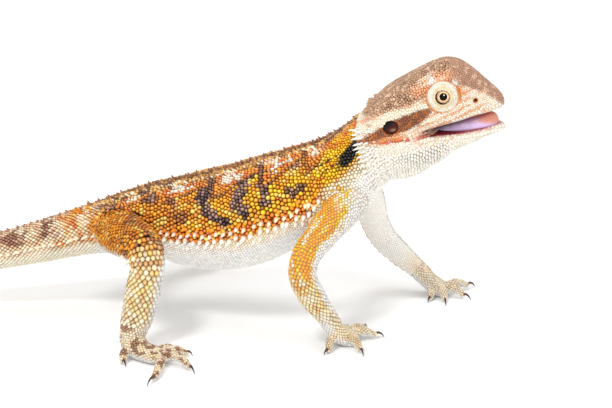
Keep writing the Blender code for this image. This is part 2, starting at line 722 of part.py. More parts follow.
def add_spines(flesh):
    """The rows of spines that name the animal, and its claws, joined to the flesh."""
    chance = random.Random(SEED)
    tree = BVHTree.FromObject(flesh, bpy.context.evaluated_depsgraph_get())
    planes = cutting_planes()
    hinge = head_point(0, 0, JAW_CUT[0][2] + 0.15), head_direction(0, 0, 1), 14.0
    points = collection("points")
    for first, last, pitch, lift, *row in TRUNK_SPINES:
        for k in range(int((last - first) / pitch) + 1):
            centre, along = trunk_at(first + k * pitch)
            up = (Vector((0, 0, 1)) - along * along.z).normalized()
            for side in (-1, 1):
                angle = math.radians(lift + chance.uniform(-2, 2))
                across = up.cross(along) * side
                outward = across * math.cos(angle) + up * math.sin(angle)
                grow(tree, centre, outward, -along, row, planes, chance, points)
    for x, first, last, count, height, radius in HEAD_SPINES:
        start = head_point(x, 0, -0.5)
        back = head_direction(-1, 0, 0)
        for k in range(count):
            for side in (-1, 1):
                angle = math.radians(first + (last - first) * k / (count - 1))
                outward = head_direction(0, side * math.cos(angle), math.sin(angle))
                row = (height, radius, 0.8)
                grow(tree, start, outward, back, row, planes + [hinge], chance, points)
    boolean(flesh, points, "UNION", "MANIFOLD")

    claws = collection("claws")
    for digits in DIGITS.values():
        for _, knuckle, end, tip in digits:
            knuckle, end, tip = Vector(knuckle), Vector(end), Vector(tip)
            middle = end.lerp(tip, 0.55) + Vector((0, 0, CLAW_LIFT))
            sunk = end.lerp(knuckle, 0.3)
            last = tip
            path = ((sunk, 0), (end, 0), (middle, 1), (last, 2))
            rows = [(*at, CLAW_RADII[k], CLAW_RADII[k]) for at, k in path]
            loft("claw", path_rings(rows, 5, 6, Vector((0, 0, 1))), claws)
    boolean(flesh, claws, "UNION", "MANIFOLD")


def build():
    clear_scene()
    model = collection("bearded_dragon")
    work = collection("work")

    flesh = melted("flesh", 0.5 * MM, 4, FLESH_TRIANGLES, work)
    add_spines(flesh)
    carve_head(flesh)
    part_flesh(flesh)
    nodes = parted(flesh, anchors(), model)
    nodes.update(head_extras(model))
    bpy.data.collections.remove(work)
    for name, node in nodes.items():
        node.data.transform(Matrix.Translation(CENTRE_SHIFT))
        node.data.materials.append(finish(finish_of(name)))


if __name__ == "__main__":
    build()
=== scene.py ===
"""A young bearded dragon, life size, standing with its mouth a little open.

One skin is melted from lofts and balls and carved at the eyes, ears, nostrils and mouth. Scales are
then set on it as real plates, beads and spines: rows along the trunk, tail and limbs, rings round the
eyes, and small many-sided plates on the head. Skin and scales are coloured by the same markings; each
scale also carries painted shade on its shoulder and a painted highlight on its apex.
Forms are in millimetres in the animal's standing pose: +X runs towards the head, +Y towards its left
side and +Z up, with the floor at zero. Meshes are in metres, moved by CENTRE_SHIFT.
"""

import json
import math
import random

import bmesh
import bpy
import numpy as np
from mathutils import Matrix, Vector
from mathutils.bvhtree import BVHTree
from mathutils.kdtree import KDTree

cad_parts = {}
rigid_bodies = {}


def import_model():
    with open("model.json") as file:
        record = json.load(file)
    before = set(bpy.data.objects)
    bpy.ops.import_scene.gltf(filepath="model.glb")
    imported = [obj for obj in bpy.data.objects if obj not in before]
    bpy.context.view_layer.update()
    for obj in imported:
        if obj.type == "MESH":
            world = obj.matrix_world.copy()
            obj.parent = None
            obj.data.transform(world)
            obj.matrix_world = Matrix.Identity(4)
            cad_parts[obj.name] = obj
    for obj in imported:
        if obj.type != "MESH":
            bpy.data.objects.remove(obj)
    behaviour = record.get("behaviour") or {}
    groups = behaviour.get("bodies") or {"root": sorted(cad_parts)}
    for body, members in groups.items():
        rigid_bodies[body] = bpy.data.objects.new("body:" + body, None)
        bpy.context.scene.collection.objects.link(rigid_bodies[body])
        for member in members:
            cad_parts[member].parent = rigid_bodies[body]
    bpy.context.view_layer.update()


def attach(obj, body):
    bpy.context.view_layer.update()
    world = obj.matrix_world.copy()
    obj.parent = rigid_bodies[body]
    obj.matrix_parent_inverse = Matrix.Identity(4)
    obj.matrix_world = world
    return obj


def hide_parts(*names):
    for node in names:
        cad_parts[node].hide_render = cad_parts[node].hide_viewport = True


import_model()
bpy.ops.object.select_all(action="DESELECT")

MM = 0.001
SEED = 11
CENTRE_SHIFT = Vector((86.87, -5.82, 0.0)) * MM

# Camera: height angle, distance and aim in millimetres, and the width of the picture at the aim.
VIEW_ELEVATION = 18.0
VIEW_DISTANCE = 600.0
VIEW_AIM = (0.0, 0.0, 36.6)
VIEW_WIDTH = 183.6

# Head frame: where its origin lies, and how the head is turned.
HEAD_AT = Vector((31.0, -6.1, 61.6)) * MM
HEAD_PITCH = math.radians(16.0)
HEAD_YAW = math.radians(-8.6)

# Places and radii in the head frame, on the left side. Rings of beads give their radius and spacing.
EYE_AT = (12.6, 6.1, 9.4)
EYE_RADIUS = 3.4
OPENING_RADII = (2.12, 2.6, 2.05)
LID_RINGS = (
    (2.4, 0.36),
    (2.72, 0.38),
    (3.08, 0.4),
    (3.46, 0.42),
    (3.86, 0.44),
    (4.28, 0.48),
    (4.74, 0.52),
)
NOSTRIL_RINGS = ((0.95, 0.36), (1.36, 0.42))
EAR_AT = (-3.6, 13.0, 5.0)
EAR_RADII = (2.45, 1.8, 2.2)
EARDRUM_RADII = (2.3, 0.5, 2.05)
NOSTRIL_AT = (21.2, 6.25, 5.6)
NOSTRIL_RADIUS = 0.66
TONGUE_AT = (14.6, 0, -1.55)
TONGUE_RADII = (11.0, 5.0, 1.65)

# Rings of colour in the eye, in degrees from the middle of the pupil: its edge and its dark rim, the
# darkest ring of the iris, and where the iris fades to black and ends.
PUPIL_EDGE = 19.5
PUPIL_RIM = 20.0
DARK_RING = 27.5
IRIS_FADE = 31.0
IRIS_EDGE = 34.0
EYE_SIDES = 72

# The skin is melted on a grid of this size, thinned to about this many triangles, and drawn in.
SKIN_VOXEL = 0.42 * MM
SKIN_SMOOTHING = 6
SKIN_TRIANGLES = 150000
SKIN_INSET = 0.16 * MM

# The nodes that the skin and its scales stand for.
FLESH_NODES = ["head", "lower_jaw", "neck", "torso", "tail_1", "tail_2", "tail_3", "tail_4"]
for limb_part in ("upper_arm", "forearm", "hand", "thigh", "shank", "foot"):
    FLESH_NODES += [limb_part + "_left", limb_part + "_right"]

# Lamps: name, place, size and power. One more lights the eyes alone, and has a place to aim at.
LAMPS = (
    ("key", (-0.2, -0.5, 0.75), 0.18, 3.4),
    ("front", (0.1, -0.75, 0.16), 0.4, 0.6),
    ("fill", (0.7, -0.5, 0.45), 0.5, 1.3),
    ("top", (0.1, 0.15, 0.9), 0.4, 2.2),
)
GLINT_LAMP = ("glint", (0.17, -0.61, 0.165), 0.11, 6.0, (0.126, -0.02, 0.074))
WORLD_LIGHT = 0.76

# Balls that round out the head, in its frame: name, place, radii, and whether there is one on each side.
HEAD_BALLS = (
    ("pouch", (-4.0, 0, -6.5), (10.8, 9.4, 7.0), False),
    ("jowl", (-5.0, 7.6, 2.0), (10.4, 5.6, 7.6), True),
    ("brow", (11.4, 6.3, 12.6), (8.4, 3.0, 2.4), True),
    ("bridge", (17.8, 4.2, 8.6), (6.0, 2.3, 2.2), True),
    ("lid", (12.6, 6.2, 9.4), (4.6, 4.6, 4.3), True),
    ("temple", (2.4, 7.6, 11.0), (8.6, 3.8, 3.4), True),
    ("muzzle", (20.4, 3.6, 5.6), (5.4, 2.9, 3.2), True),
)

# Tail and trunk, from the tail's tip to inside the head: x, y, z, half width, height above and below.
TRUNK = (
    (-232, -22, 0.8, 0.5, 0.5, 0.8),
    (-222, -20, 1.1, 1.1, 1.1, 1.2),
    (-200, -13, 1.8, 1.8, 1.8, 1.9),
    (-178, -4, 3.0, 2.6, 2.5, 2.6),
    (-155, 3, 6.2, 3.5, 3.3, 3.3),
    (-135, 6.5, 9.6, 4.2, 3.9, 3.9),
    (-115, 8.5, 13.6, 5.0, 4.6, 4.5),
    (-94, 9, 18.5, 6.0, 5.3, 5.2),
    (-81.4, 9.6, 21.4, 7.2, 6.1, 6.1),
    (-71.2, 9.6, 24.1, 8.7, 6.7, 6.7),
    (-63, 9, 26.4, 10.2, 7.3, 7.7),
    (-55.2, 8, 28.4, 12.0, 8.3, 9.6),
    (-44.4, 6.5, 30.8, 14.4, 9.9, 13.0),
    (-32.1, 4.5, 32.0, 17.9, 12.1, 16.6),
    (-18.4, 2.5, 34.8, 20.0, 13.0, 17.5),
    (-7.8, 1, 38.8, 20.0, 12.6, 16.2),
    (1.2, 0, 42.2, 18.4, 12.2, 14.8),
    (10.1, -1.5, 46.7, 15.4, 11.4, 12.2),
    (17, -3, 52.2, 12.6, 10.7, 10.4),
    (22, -4, 57.3, 11.6, 10.0, 9.6),
    (26, -5, 61, 10.6, 8.6, 8.6),
)

# Skull with the upper jaw, and lower jaw, in the head frame: x, z of the widest line, half width,
# height above and below it, and how square the section is above it.
SKULL = (
    (-15.5, 2.4, 10.2, 4.6, 7.0, 2.2),
    (-12, 2.8, 11.8, 6.4, 7.0, 2.2),
    (-8, 3.4, 12.8, 8.6, 6.4, 2.3),
    (-3.5, 4.1, 13.0, 10.2, 5.2, 2.5),
    (1.5, 4.6, 12.2, 11.2, 4.5, 2.8),
    (6.5, 4.9, 11.0, 12.2, 4.6, 3.0),
    (11, 4.9, 9.8, 13.3, 4.5, 2.9),
    (15.5, 4.5, 8.8, 14.0, 4.1, 2.5),
    (19, 4.0, 7.7, 13.1, 3.4, 2.2),
    (22.5, 3.4, 6.3, 9.9, 2.8, 2.0),
    (25.5, 2.9, 4.9, 6.0, 2.3, 1.9),
    (27.6, 2.5, 3.3, 3.2, 1.8, 2.0),
    (28.5, 2.4, 1.6, 1.6, 1.1, 2.0),
)
JAW = (
    (-13, -5.0, 9.0, 4.6, 5.4, 4.0),
    (-7, -4.4, 11.4, 4.6, 6.5, 4.0),
    (-1, -4.0, 11.7, 4.2, 7.0, 4.0),
    (5, -4.1, 10.6, 3.95, 6.9, 4.0),
    (11, -4.5, 8.9, 2.95, 4.0, 4.0),
    (16, -4.9, 7.3, 2.2, 2.8, 4.0),
    (20, -5.2, 5.8, 1.8, 1.8, 4.0),
    (23.5, -5.3, 4.2, 1.7, 1.2, 4.0),
    (26, -5.4, 2.6, 1.3, 0.8, 4.0),
    (27, -5.4, 1.2, 0.7, 0.5, 4.0),
)

# Limbs: x, y, z, half width and half depth. The hand or foot starts at the last row but one.
LIMBS = {
    "arm_right": (
        (15, -6, 45, 7.0, 7.0),
        (11.5, -13.5, 41, 5.9, 6.4),
        (4.2, -20.8, 33.6, 4.5, 5.0),
        (-0.6, -26.2, 27.6, 4.0, 4.1),
        (-0.9, -26.9, 23.6, 4.0, 4.0),
        (1.8, -26, 17, 3.8, 3.8),
        (5.9, -24.3, 10.2, 2.9, 3.0),
        (7.7, -23.2, 7.0, 2.9, 2.9),
    ),
    "arm_left": (
        (15, 3, 45, 7.0, 7.0),
        (16.9, 10.5, 39.6, 5.6, 6.2),
        (19.8, 17.6, 30.8, 4.5, 4.9),
        (21.9, 22.8, 22.8, 4.2, 4.3),
        (23.8, 24.0, 18.6, 4.2, 4.2),
        (29.0, 23.2, 13.2, 3.8, 3.8),
        (35.0, 21.6, 8.2, 2.9, 3.0),
        (37.2, 21.2, 6.0, 2.9, 2.9),
    ),
    "leg_right": (
        (-56.5, 2, 28.5, 7.6, 8.2),
        (-54, -7.5, 29.2, 6.6, 7.6),
        (-50, -16.5, 30.2, 5.7, 6.6),
        (-46.6, -23.4, 29.6, 5.0, 5.4),
        (-46.0, -25.2, 25.6, 4.7, 5.0),
        (-47.4, -26.2, 18.2, 4.6, 5.0),
        (-49.6, -27.6, 9.2, 3.8, 4.3),
        (-50.6, -28.4, 6.2, 3.5, 3.8),
    ),
    "leg_left": (
        (-56.5, 15, 26.0, 7.4, 7.8),
        (-53.0, 22.8, 25.6, 6.4, 7.2),
        (-48.2, 30.2, 25.0, 5.6, 6.4),
        (-43.8, 36.4, 24.2, 5.0, 5.4),
        (-41.6, 38.8, 21.2, 4.7, 4.8),
        (-36.6, 42.0, 15.2, 4.5, 4.5),
        (-31.6, 45.6, 8.2, 3.7, 3.8),
        (-30.4, 46.6, 5.8, 3.5, 3.5),
    ),
}

# Palms and soles: x, y, z, half width, half height, from the wrist or ankle to the knuckles.
PALMS = {
    "hand_right": (
        (5.9, -24.3, 10.2, 2.9, 3.0),
        (8.0, -23.0, 6.0, 3.2, 2.7),
        (10.4, -21.6, 2.9, 3.9, 2.6),
        (12.6, -20.4, 1.8, 4.2, 2.2),
        (14.2, -19.6, 1.4, 3.2, 1.6),
    ),
    "hand_left": (
        (35.0, 21.6, 8.2, 2.9, 3.0),
        (37.8, 21.0, 5.4, 3.2, 2.7),
        (40.8, 20.6, 2.9, 3.9, 2.6),
        (43.0, 20.2, 1.8, 4.2, 2.2),
        (44.6, 20.0, 1.4, 3.2, 1.6),
    ),
    "foot_right": (
        (-49.6, -27.6, 9.2, 3.8, 4.3),
        (-50.6, -29.0, 4.6, 3.6, 3.8),
        (-48.6, -31.6, 2.8, 3.6, 3.1),
        (-44.4, -34.4, 2.0, 3.9, 2.5),
        (-40.6, -36.2, 1.5, 3.4, 1.8),
    ),
    "foot_left": (
        (-31.6, 45.6, 8.2, 3.7, 3.8),
        (-30.4, 47.0, 4.4, 3.5, 3.6),
        (-27.2, 48.8, 2.8, 3.6, 3.1),
        (-23.6, 51.2, 2.0, 3.9, 2.5),
        (-20.6, 53.2, 1.5, 3.4, 1.8),
    ),
}

# Digits: root, knuckle, end of the flesh and claw tip on the floor, as x, y, z.
DIGITS = {
    "hand_right": (
        ((10.0, -18.6, 2.1), (11.6, -14.8, 2.3), (12.4, -11.6, 1.0), (12.6, -8.2, 0.1)),
        ((12.0, -18.6, 2.1), (15.4, -14.6, 2.7), (17.3, -11.3, 1.1), (18.4, -8.0, 0.1)),
        ((12.8, -20.0, 2.3), (16.8, -18.4, 3.0), (20.4, -17.0, 1.4), (23.3, -16.0, 0.1)),
        ((11.8, -22.0, 2.3), (14.2, -25.4, 2.9), (15.9, -28.4, 1.3), (16.7, -31.4, 0.1)),
        ((8.4, -23.8, 3.5), (6.9, -26.6, 2.7), (6.6, -28.4, 1.0), (5.2, -30.6, 0.1)),
    ),
    "hand_left": (
        ((40.2, 18.4, 2.1), (39.4, 16.6, 2.3), (38.9, 14.8, 1.0), (37.9, 12.2, 0.1)),
        ((42.0, 18.8, 2.1), (42.9, 15.6, 2.8), (43.2, 12.9, 1.2), (43.4, 9.6, 0.1)),
        ((43.6, 19.6, 2.3), (46.6, 18.0, 3.0), (49.0, 16.4, 1.4), (51.6, 14.8, 0.1)),
        ((43.6, 21.2, 2.3), (47.8, 23.2, 2.9), (51.0, 25.2, 1.4), (53.8, 27.4, 0.1)),
        ((40.6, 22.6, 2.5), (41.6, 26.2, 2.5), (42.0, 29.0, 1.0), (42.8, 32.0, 0.1)),
    ),
    "foot_right": (
        ((-43.4, -32.6, 2.1), (-39.8, -29.8, 2.1), (-38.0, -28.4, 1.0), (-36.4, -26.6, 0.1)),
        ((-41.6, -34.4, 2.1), (-37.4, -32.4, 2.7), (-35.0, -31.4, 1.3), (-33.0, -30.6, 0.1)),
        ((-40.8, -36.2, 2.1), (-36.4, -38.6, 2.9), (-33.4, -41.4, 1.3), (-31.6, -44.8, 0.1)),
        ((-42.0, -37.0, 2.1), (-41.6, -43.2, 2.7), (-42.8, -49.2, 1.2), (-44.6, -53.4, 0.1)),
        ((-50.2, -31.8, 2.7), (-52.4, -34.8, 2.7), (-52.8, -36.8, 1.2), (-51.6, -39.6, 0.1)),
    ),
    "foot_left": (
        ((-24.2, 48.6, 2.1), (-20.8, 48.6, 2.1), (-18.4, 49.2, 1.0), (-15.6, 50.2, 0.1)),
        ((-21.6, 51.2, 2.1), (-17.8, 51.6, 2.7), (-14.6, 52.4, 1.3), (-11.4, 53.4, 0.1)),
        ((-20.8, 53.0, 2.1), (-16.0, 55.4, 2.9), (-11.8, 57.6, 1.3), (-8.6, 59.4, 0.1)),
        ((-21.4, 54.2, 2.1), (-16.4, 58.8, 2.7), (-11.0, 62.6, 1.2), (-6.8, 65.0, 0.1)),
        ((-29.0, 50.4, 2.7), (-28.6, 54.2, 2.7), (-27.4, 57.2, 1.2), (-25.6, 60.0, 0.1)),
    ),
}
DIGIT_RADII = (1.5, 1.35, 1.0)
# Half heights of a claw from inside the toe to its tip, how high it arches, where along it and by which
# share of that height, and its steps and sides.
CLAW_RADII = (0.5, 0.5, 0.4, 0.25, 0.06)
CLAW_LIFT = 0.9
CLAW_ARCH = ((0.35, 1.0), (0.74, 0.9))
CLAW_STEPS = 14
CLAW_SIDES = 10
# Which way the top of each tube's section points, as near as its path allows.
UPWARDS = (0, 0, 1)
# Squareness of a plain oval section, for its upper and its lower half.
OVAL = (2.0, 2.0)
LIMB_HINTS = {"arm": (0.5, 0, 0.3), "leg": (1, 0, 0)}
PALM_HINT = (0.3, 0, 1)

# Colours as they are seen, in 0 to 255.
PAINTS = {
    "strip": (216, 156, 80),
    "strip_dark": (106, 68, 42),
    "saddle": (222, 100, 22),
    "saddle_edge": (246, 140, 38),
    "bar": (66, 40, 42),
    "amber": (250, 152, 10),
    "yellow": (252, 186, 20),
    "rust": (190, 112, 52),
    "fringe": (240, 120, 16),
    "cream": (250, 238, 214),
    "white": (250, 246, 238),
    "belly": (248, 246, 242),
    "tail_brown": (152, 104, 82),
    "tail_cream": (250, 216, 182),
    "tail_orange": (206, 132, 76),
    "limb_tan": (248, 210, 154),
    "limb_pale": (248, 232, 196),
    "limb_orange": (255, 158, 34),
    "limb_under": (246, 242, 236),
    "toe": (248, 228, 198),
    "crown": (194, 152, 120),
    "crown_dark": (146, 104, 78),
    "snout": (190, 145, 122),
    "blush": (236, 152, 92),
    "flush": (240, 166, 120),
    "temple": (138, 84, 56),
    "lip": (248, 234, 214),
    "beard": (253, 245, 228),
    "black": (22, 16, 12),
    "olive": (150, 128, 40),
    "mouth": (132, 40, 48),
    "mouth_pink": (226, 150, 150),
    "palate": (222, 150, 130),
    "orange_line": (222, 130, 34),
    "lid": (255, 250, 236),
    "paper": (253, 253, 253),
    "umber": (188, 102, 24),
    "pale_gold": (252, 200, 96),
    "pale_cream": (246, 228, 190),
    "bar_top": (146, 112, 96),
    "rim_shade": (108, 60, 26),
    "limb_gold": (250, 200, 126),
    "loreal": (242, 152, 80),
    "nostril": (120, 62, 20),
    "gum": (206, 84, 66),
    "throat": (188, 180, 158),
    "tongue": (214, 188, 228),
    "tongue_highlight": (246, 232, 250),
    "claw": (50, 32, 24),
    "eardrum": (70, 22, 24),
    "iris": (228, 182, 138),
}


def linear(paint):
    """A seen colour as linear light."""
    seen = np.array(PAINTS[paint]) / 255.0
    return np.where(seen < 0.04045, seen / 12.92, ((seen + 0.055) / 1.055) ** 2.4)


def collection(name):
    made = bpy.data.collections.new(name)
    bpy.context.scene.collection.children.link(made)
    return made


def empty_collection(made):
    for obj in list(made.objects):
        bpy.data.objects.remove(obj, do_unlink=True)
    bpy.data.collections.remove(made)


def mesh_object(name, work, into):
    """An object from a bmesh, with its faces turned outwards."""
    bmesh.ops.recalc_face_normals(work, faces=work.faces)
    mesh = bpy.data.meshes.new(name)
    work.to_mesh(mesh)
    work.free()
    made = bpy.data.objects.new(name, mesh)
    into.objects.link(made)
    return made


def smooth_rows(rows, steps):
    """The rows read smoothly at evenly spaced steps along their first three columns."""
    rows = np.array(rows, float)
    at = np.concatenate([[0.0], np.cumsum(np.linalg.norm(np.diff(rows[:, :3], axis=0), axis=1))])
    slopes = np.gradient(rows, at, axis=0)
    wanted = np.linspace(0.0, at[-1], steps)
    k = np.clip(np.searchsorted(at, wanted, side="right") - 1, 0, len(at) - 2)
    span = (at[k + 1] - at[k])[:, None]
    t = (wanted - at[k])[:, None] / span
    return (
        (1 + 2 * t) * (1 - t) ** 2 * rows[k]
        + t * (1 - t) ** 2 * span * slopes[k]
        + t * t * (3 - 2 * t) * rows[k + 1]
        + t * t * (t - 1) * span * slopes[k + 1]
    )


def unit(vectors):
    return vectors / np.maximum(np.linalg.norm(vectors, axis=-1, keepdims=True), 1e-9)


def section(angles, half_width, above, below, squareness):
    """Across and up of a superellipse at these angles; its lower half may be squarer."""
    c, s = np.cos(angles), np.sin(angles)
    upper = s > 0
    power = 2 / np.where(upper, squareness[0], squareness[1])
    reach = np.where(upper, above, below)
    across = half_width * np.sign(c) * np.abs(c) ** power
    return across, reach * np.sign(s) * np.abs(s) ** power


def tube_frame(rows, steps, up_hint):
    """Places, directions and sizes along a path of rows, all in millimetres."""
    read = smooth_rows(rows, steps)
    along = unit(np.gradient(read[:, :3], axis=0))
    hint = np.array(up_hint, float)
    up = unit(hint - along * (along @ hint)[:, None])
    side = np.cross(up, along)
    return {
        "at": read[:, :3], "along": along, "side": side, "up": up,
        "width": read[:, 3], "above": read[:, 4], "below": read[:, -1],
    }


def loft(name, rings, into):
    """A closed tube through rings of one size, given in metres."""
    work = bmesh.new()
    loops = [[work.verts.new(p) for p in points] for points in rings]
    for first, second in zip(loops, loops[1:]):
        for k in range(len(first)):
            n = (k + 1) % len(first)
            work.faces.new((first[k], first[n], second[n], second[k]))
    work.faces.new(loops[0])
    work.faces.new(loops[-1])
    return mesh_object(name, work, into)


def tube(name, rows, steps, sides, up_hint, into):
    path = tube_frame(rows, steps, up_hint)
    angles = np.linspace(0, math.tau, sides, endpoint=False)
    rings = []
    for k in range(steps):
        sizes = path["width"][k], path["above"][k], path["below"][k]
        across, height = section(angles, *sizes, OVAL)
        points = path["at"][k] + np.outer(across, path["side"][k]) + np.outer(height, path["up"][k])
        rings.append(points * MM)
    return loft(name, rings, into)


def head_matrix():
    return (
        Matrix.Translation(HEAD_AT)
        @ Matrix.Rotation(HEAD_YAW, 4, "Z")
        @ Matrix.Rotation(-HEAD_PITCH, 4, "Y")
    )


HEAD = np.array(head_matrix())


def from_head(points):
    """Head frame millimetres to pose millimetres."""
    return np.asarray(points, float) @ HEAD[:3, :3].T + HEAD[:3, 3] / MM


def to_head(points):
    """Pose millimetres to head frame millimetres."""
    return (points - HEAD[:3, 3] / MM) @ HEAD[:3, :3]


def on_side(at, side):
    """A place given for the left side, on the left for 1, on the right for -1, in the middle for 0."""
    x, y, z = at
    return (x, y * side, z)


def head_loft(name, rows, steps, sides, square_below, into):
    read = smooth_rows([(x, 0, z, *rest) for x, z, *rest in rows], steps)
    angles = np.linspace(0, math.tau, sides, endpoint=False)
    rings = []
    for x, _, z, width, above, below, square in read:
        across, height = section(angles, width, above, below, (square, square_below))
        points = np.column_stack([np.full(sides, x), across, z + height])
        rings.append(from_head(points) * MM)
    return loft(name, rings, into)


def ball(name, matrix, radii, into, segments=24):
    work = bmesh.new()
    bmesh.ops.create_uvsphere(
        work, u_segments=segments, v_segments=segments // 2, radius=1.0,
        matrix=matrix @ Matrix.Diagonal((*[r * MM for r in radii], 1.0)),
    )
    return mesh_object(name, work, into)


def head_ball(name, at, radii, into, segments=24):
    return ball(name, head_matrix() @ Matrix.Translation(Vector(at) * MM), radii, into, segments)


def flesh_pieces(into):
    """Every closed form of the animal's flesh, each overlapping the next."""
    tube("trunk", TRUNK, 160, 48, UPWARDS, into)
    head_loft("skull", SKULL, 60, 56, 4.0, into)
    head_loft("jaw", JAW, 56, 56, 2.2, into)
    for name, at, radii, paired in HEAD_BALLS:
        for side in ((1, -1) if paired else (0,)):
            head_ball(f"{name}_{side}", on_side(at, side), radii, into, 32)
    for name, rows in LIMBS.items():
        tube(name, rows, 50, 28, LIMB_HINTS[name[:3]], into)
    for name, rows in PALMS.items():
        tube(name, rows, 24, 24, PALM_HINT, into)
        for digit in DIGITS[name]:
            tube(name + "_digit", digit_rows(digit), 16, 14, UPWARDS, into)
            for at, r in zip(digit[1:], DIGIT_RADII[1:]):
                ball("joint", Matrix.Translation(Vector(at) * MM), (r, r, r), into, 12)


def digit_rows(digit):
    return [(*at, r, r) for at, r in zip(digit, DIGIT_RADII)]


def apply_modifiers(obj):
    bpy.context.view_layer.update()
    graph = bpy.context.evaluated_depsgraph_get()
    mesh = bpy.data.meshes.new_from_object(obj.evaluated_get(graph))
    obj.modifiers.clear()
    obj.data = mesh


def carve(obj, cutters):
    """Takes a collection's closed forms out of obj and removes them."""
    cut = obj.modifiers.new("carve", "BOOLEAN")
    cut.operation = "DIFFERENCE"
    cut.operand_type = "COLLECTION"
    cut.collection = cutters
    cut.solver = "MANIFOLD"
    apply_modifiers(obj)
    empty_collection(cutters)


def make_skin():
    """The whole flesh as one smooth closed surface, carved at the head and flat on the floor."""
    scrap = collection("forms")
    flesh_pieces(scrap)
    work = bmesh.new()
    for piece in scrap.objects:
        work.from_mesh(piece.data)
    empty_collection(scrap)
    mesh = bpy.data.meshes.new("skin")
    work.to_mesh(mesh)
    work.free()
    skin = bpy.data.objects.new("skin", mesh)
    bpy.context.scene.collection.objects.link(skin)
    melt = skin.modifiers.new("melt", "REMESH")
    melt.mode = "VOXEL"
    melt.voxel_size = SKIN_VOXEL
    smooth = skin.modifiers.new("smooth", "SMOOTH")
    smooth.factor = 0.5
    smooth.iterations = SKIN_SMOOTHING
    apply_modifiers(skin)
    thin = skin.modifiers.new("thin", "DECIMATE")
    thin.ratio = SKIN_TRIANGLES / (2 * len(skin.data.polygons))
    inset = skin.modifiers.new("inset", "DISPLACE")
    inset.strength = -SKIN_INSET
    inset.mid_level = 0.0
    apply_modifiers(skin)
    cutters = collection("cutters")
    for side in (-1, 1):
        head_ball("socket", on_side(EYE_AT, side), [EYE_RADIUS + 0.12] * 3, cutters, 40)
        head_ball("ear_cup", on_side(EAR_AT, side), EAR_RADII, cutters, 32)
        head_ball("nostril", on_side(NOSTRIL_AT, side), [NOSTRIL_RADIUS] * 3, cutters, 20)
    carve(skin, cutters)
    openings = collection("openings")
    x, y, z = EYE_AT
    for side in (-1, 1):
        at = on_side((x + 0.3, y + EYE_RADIUS, z + 0.1), side)
        head_ball("eye_opening", at, OPENING_RADII, openings, 40)
    carve(skin, openings)
    return skin


# Places on the body: every point is known by the axis that it lies nearest to.
def build_axes():
    """Samples along every tube of the body, as arrays, with a zone name for each tube."""
    zones, parts = [], []
    tubes = [("trunk", TRUNK, 260, UPWARDS)]
    for name, rows in LIMBS.items():
        tubes.append((name, rows[1:], 60, LIMB_HINTS[name[:3]]))
    for name, rows in PALMS.items():
        tubes.append((name, rows, 20, PALM_HINT))
        for digit in DIGITS[name]:
            tubes.append((name + "_digit", digit_rows(digit), 12, UPWARDS))
    for name, rows, steps, hint in tubes:
        path = tube_frame(rows, steps, hint)
        path["zone"] = np.full(steps, len(zones))
        path["share"] = np.linspace(0, 1, steps)
        zones.append(name)
        parts.append(path)
    return zones, {key: np.concatenate([p[key] for p in parts]) for key in parts[0]}


ZONES, AXES = build_axes()


def locate(points):
    """For pose points in millimetres: zone, share along it, nearest axis sample and the local angle.

    The angle runs from 0 on top over 90 at the side to 180 below.
    """
    radius = (AXES["width"] + AXES["above"] + AXES["below"]) / 3
    nearest = np.empty(len(points), int)
    for start in range(0, len(points), 4000):
        chunk = points[start:start + 4000]
        gap = ((chunk[:, None, :] - AXES["at"][None, :, :]) ** 2).sum(axis=2)
        nearest[start:start + 4000] = np.argmin(gap / radius ** 2, axis=1)
    away = points - AXES["at"][nearest]
    across = (away * AXES["side"][nearest]).sum(axis=1) / AXES["width"][nearest]
    up = (away * AXES["up"][nearest]).sum(axis=1)
    up = up / np.where(up > 0, AXES["above"][nearest], AXES["below"][nearest])
    angle = np.degrees(np.arctan2(np.abs(across), up))
    head = to_head(points)
    in_head = (head[:, 0] > -14.6 + 0.25 * np.maximum(-2 - head[:, 2], 0)) & (np.abs(head[:, 1]) < 16)
    zone = np.where(in_head, -1, AXES["zone"][nearest])
    return {
        "zone": zone, "share": AXES["share"][nearest], "nearest": nearest, "angle": angle,
        "x": AXES["at"][nearest, 0] + (away * AXES["along"][nearest]).sum(axis=1), "head": head,
        "side": np.sign(points[:, 1] - AXES["at"][nearest, 1]), "away": unit(away),
    }


def cloud(points, size, seed=0):
    """Smooth noise from 0 to 1 at points in millimetres."""
    scaled = points / size + 17.3 * (seed + 1)
    cell = np.floor(scaled).astype(np.int64)
    part = scaled - cell
    part = part * part * (3 - 2 * part)
    total = np.zeros(len(points))
    for corner in range(8):
        step = np.array([corner & 1, (corner >> 1) & 1, corner >> 2])
        key = (cell + step) @ np.array([73856093, 19349663, 83492791]) + seed * 9176
        key = (key ^ (key >> 13)) * 1274126177
        value = ((key ^ (key >> 16)) & 65535) / 65535
        total += value * np.prod(np.where(step, part, 1 - part), axis=1)
    return total


def ramp(low, high, values):
    """0 below low, 1 above high and smooth between; falls where low is above high."""
    t = np.clip((values - low) / (high - low), 0, 1)
    return t * t * (3 - 2 * t)


def mix(colours, paint, mask):
    target = linear(paint) if isinstance(paint, str) else paint
    return colours + (target - colours) * np.clip(mask, 0, 1)[:, None]


def band(values, centre, half_width, soft):
    return ramp(half_width + soft, half_width - soft, np.abs(values - centre))


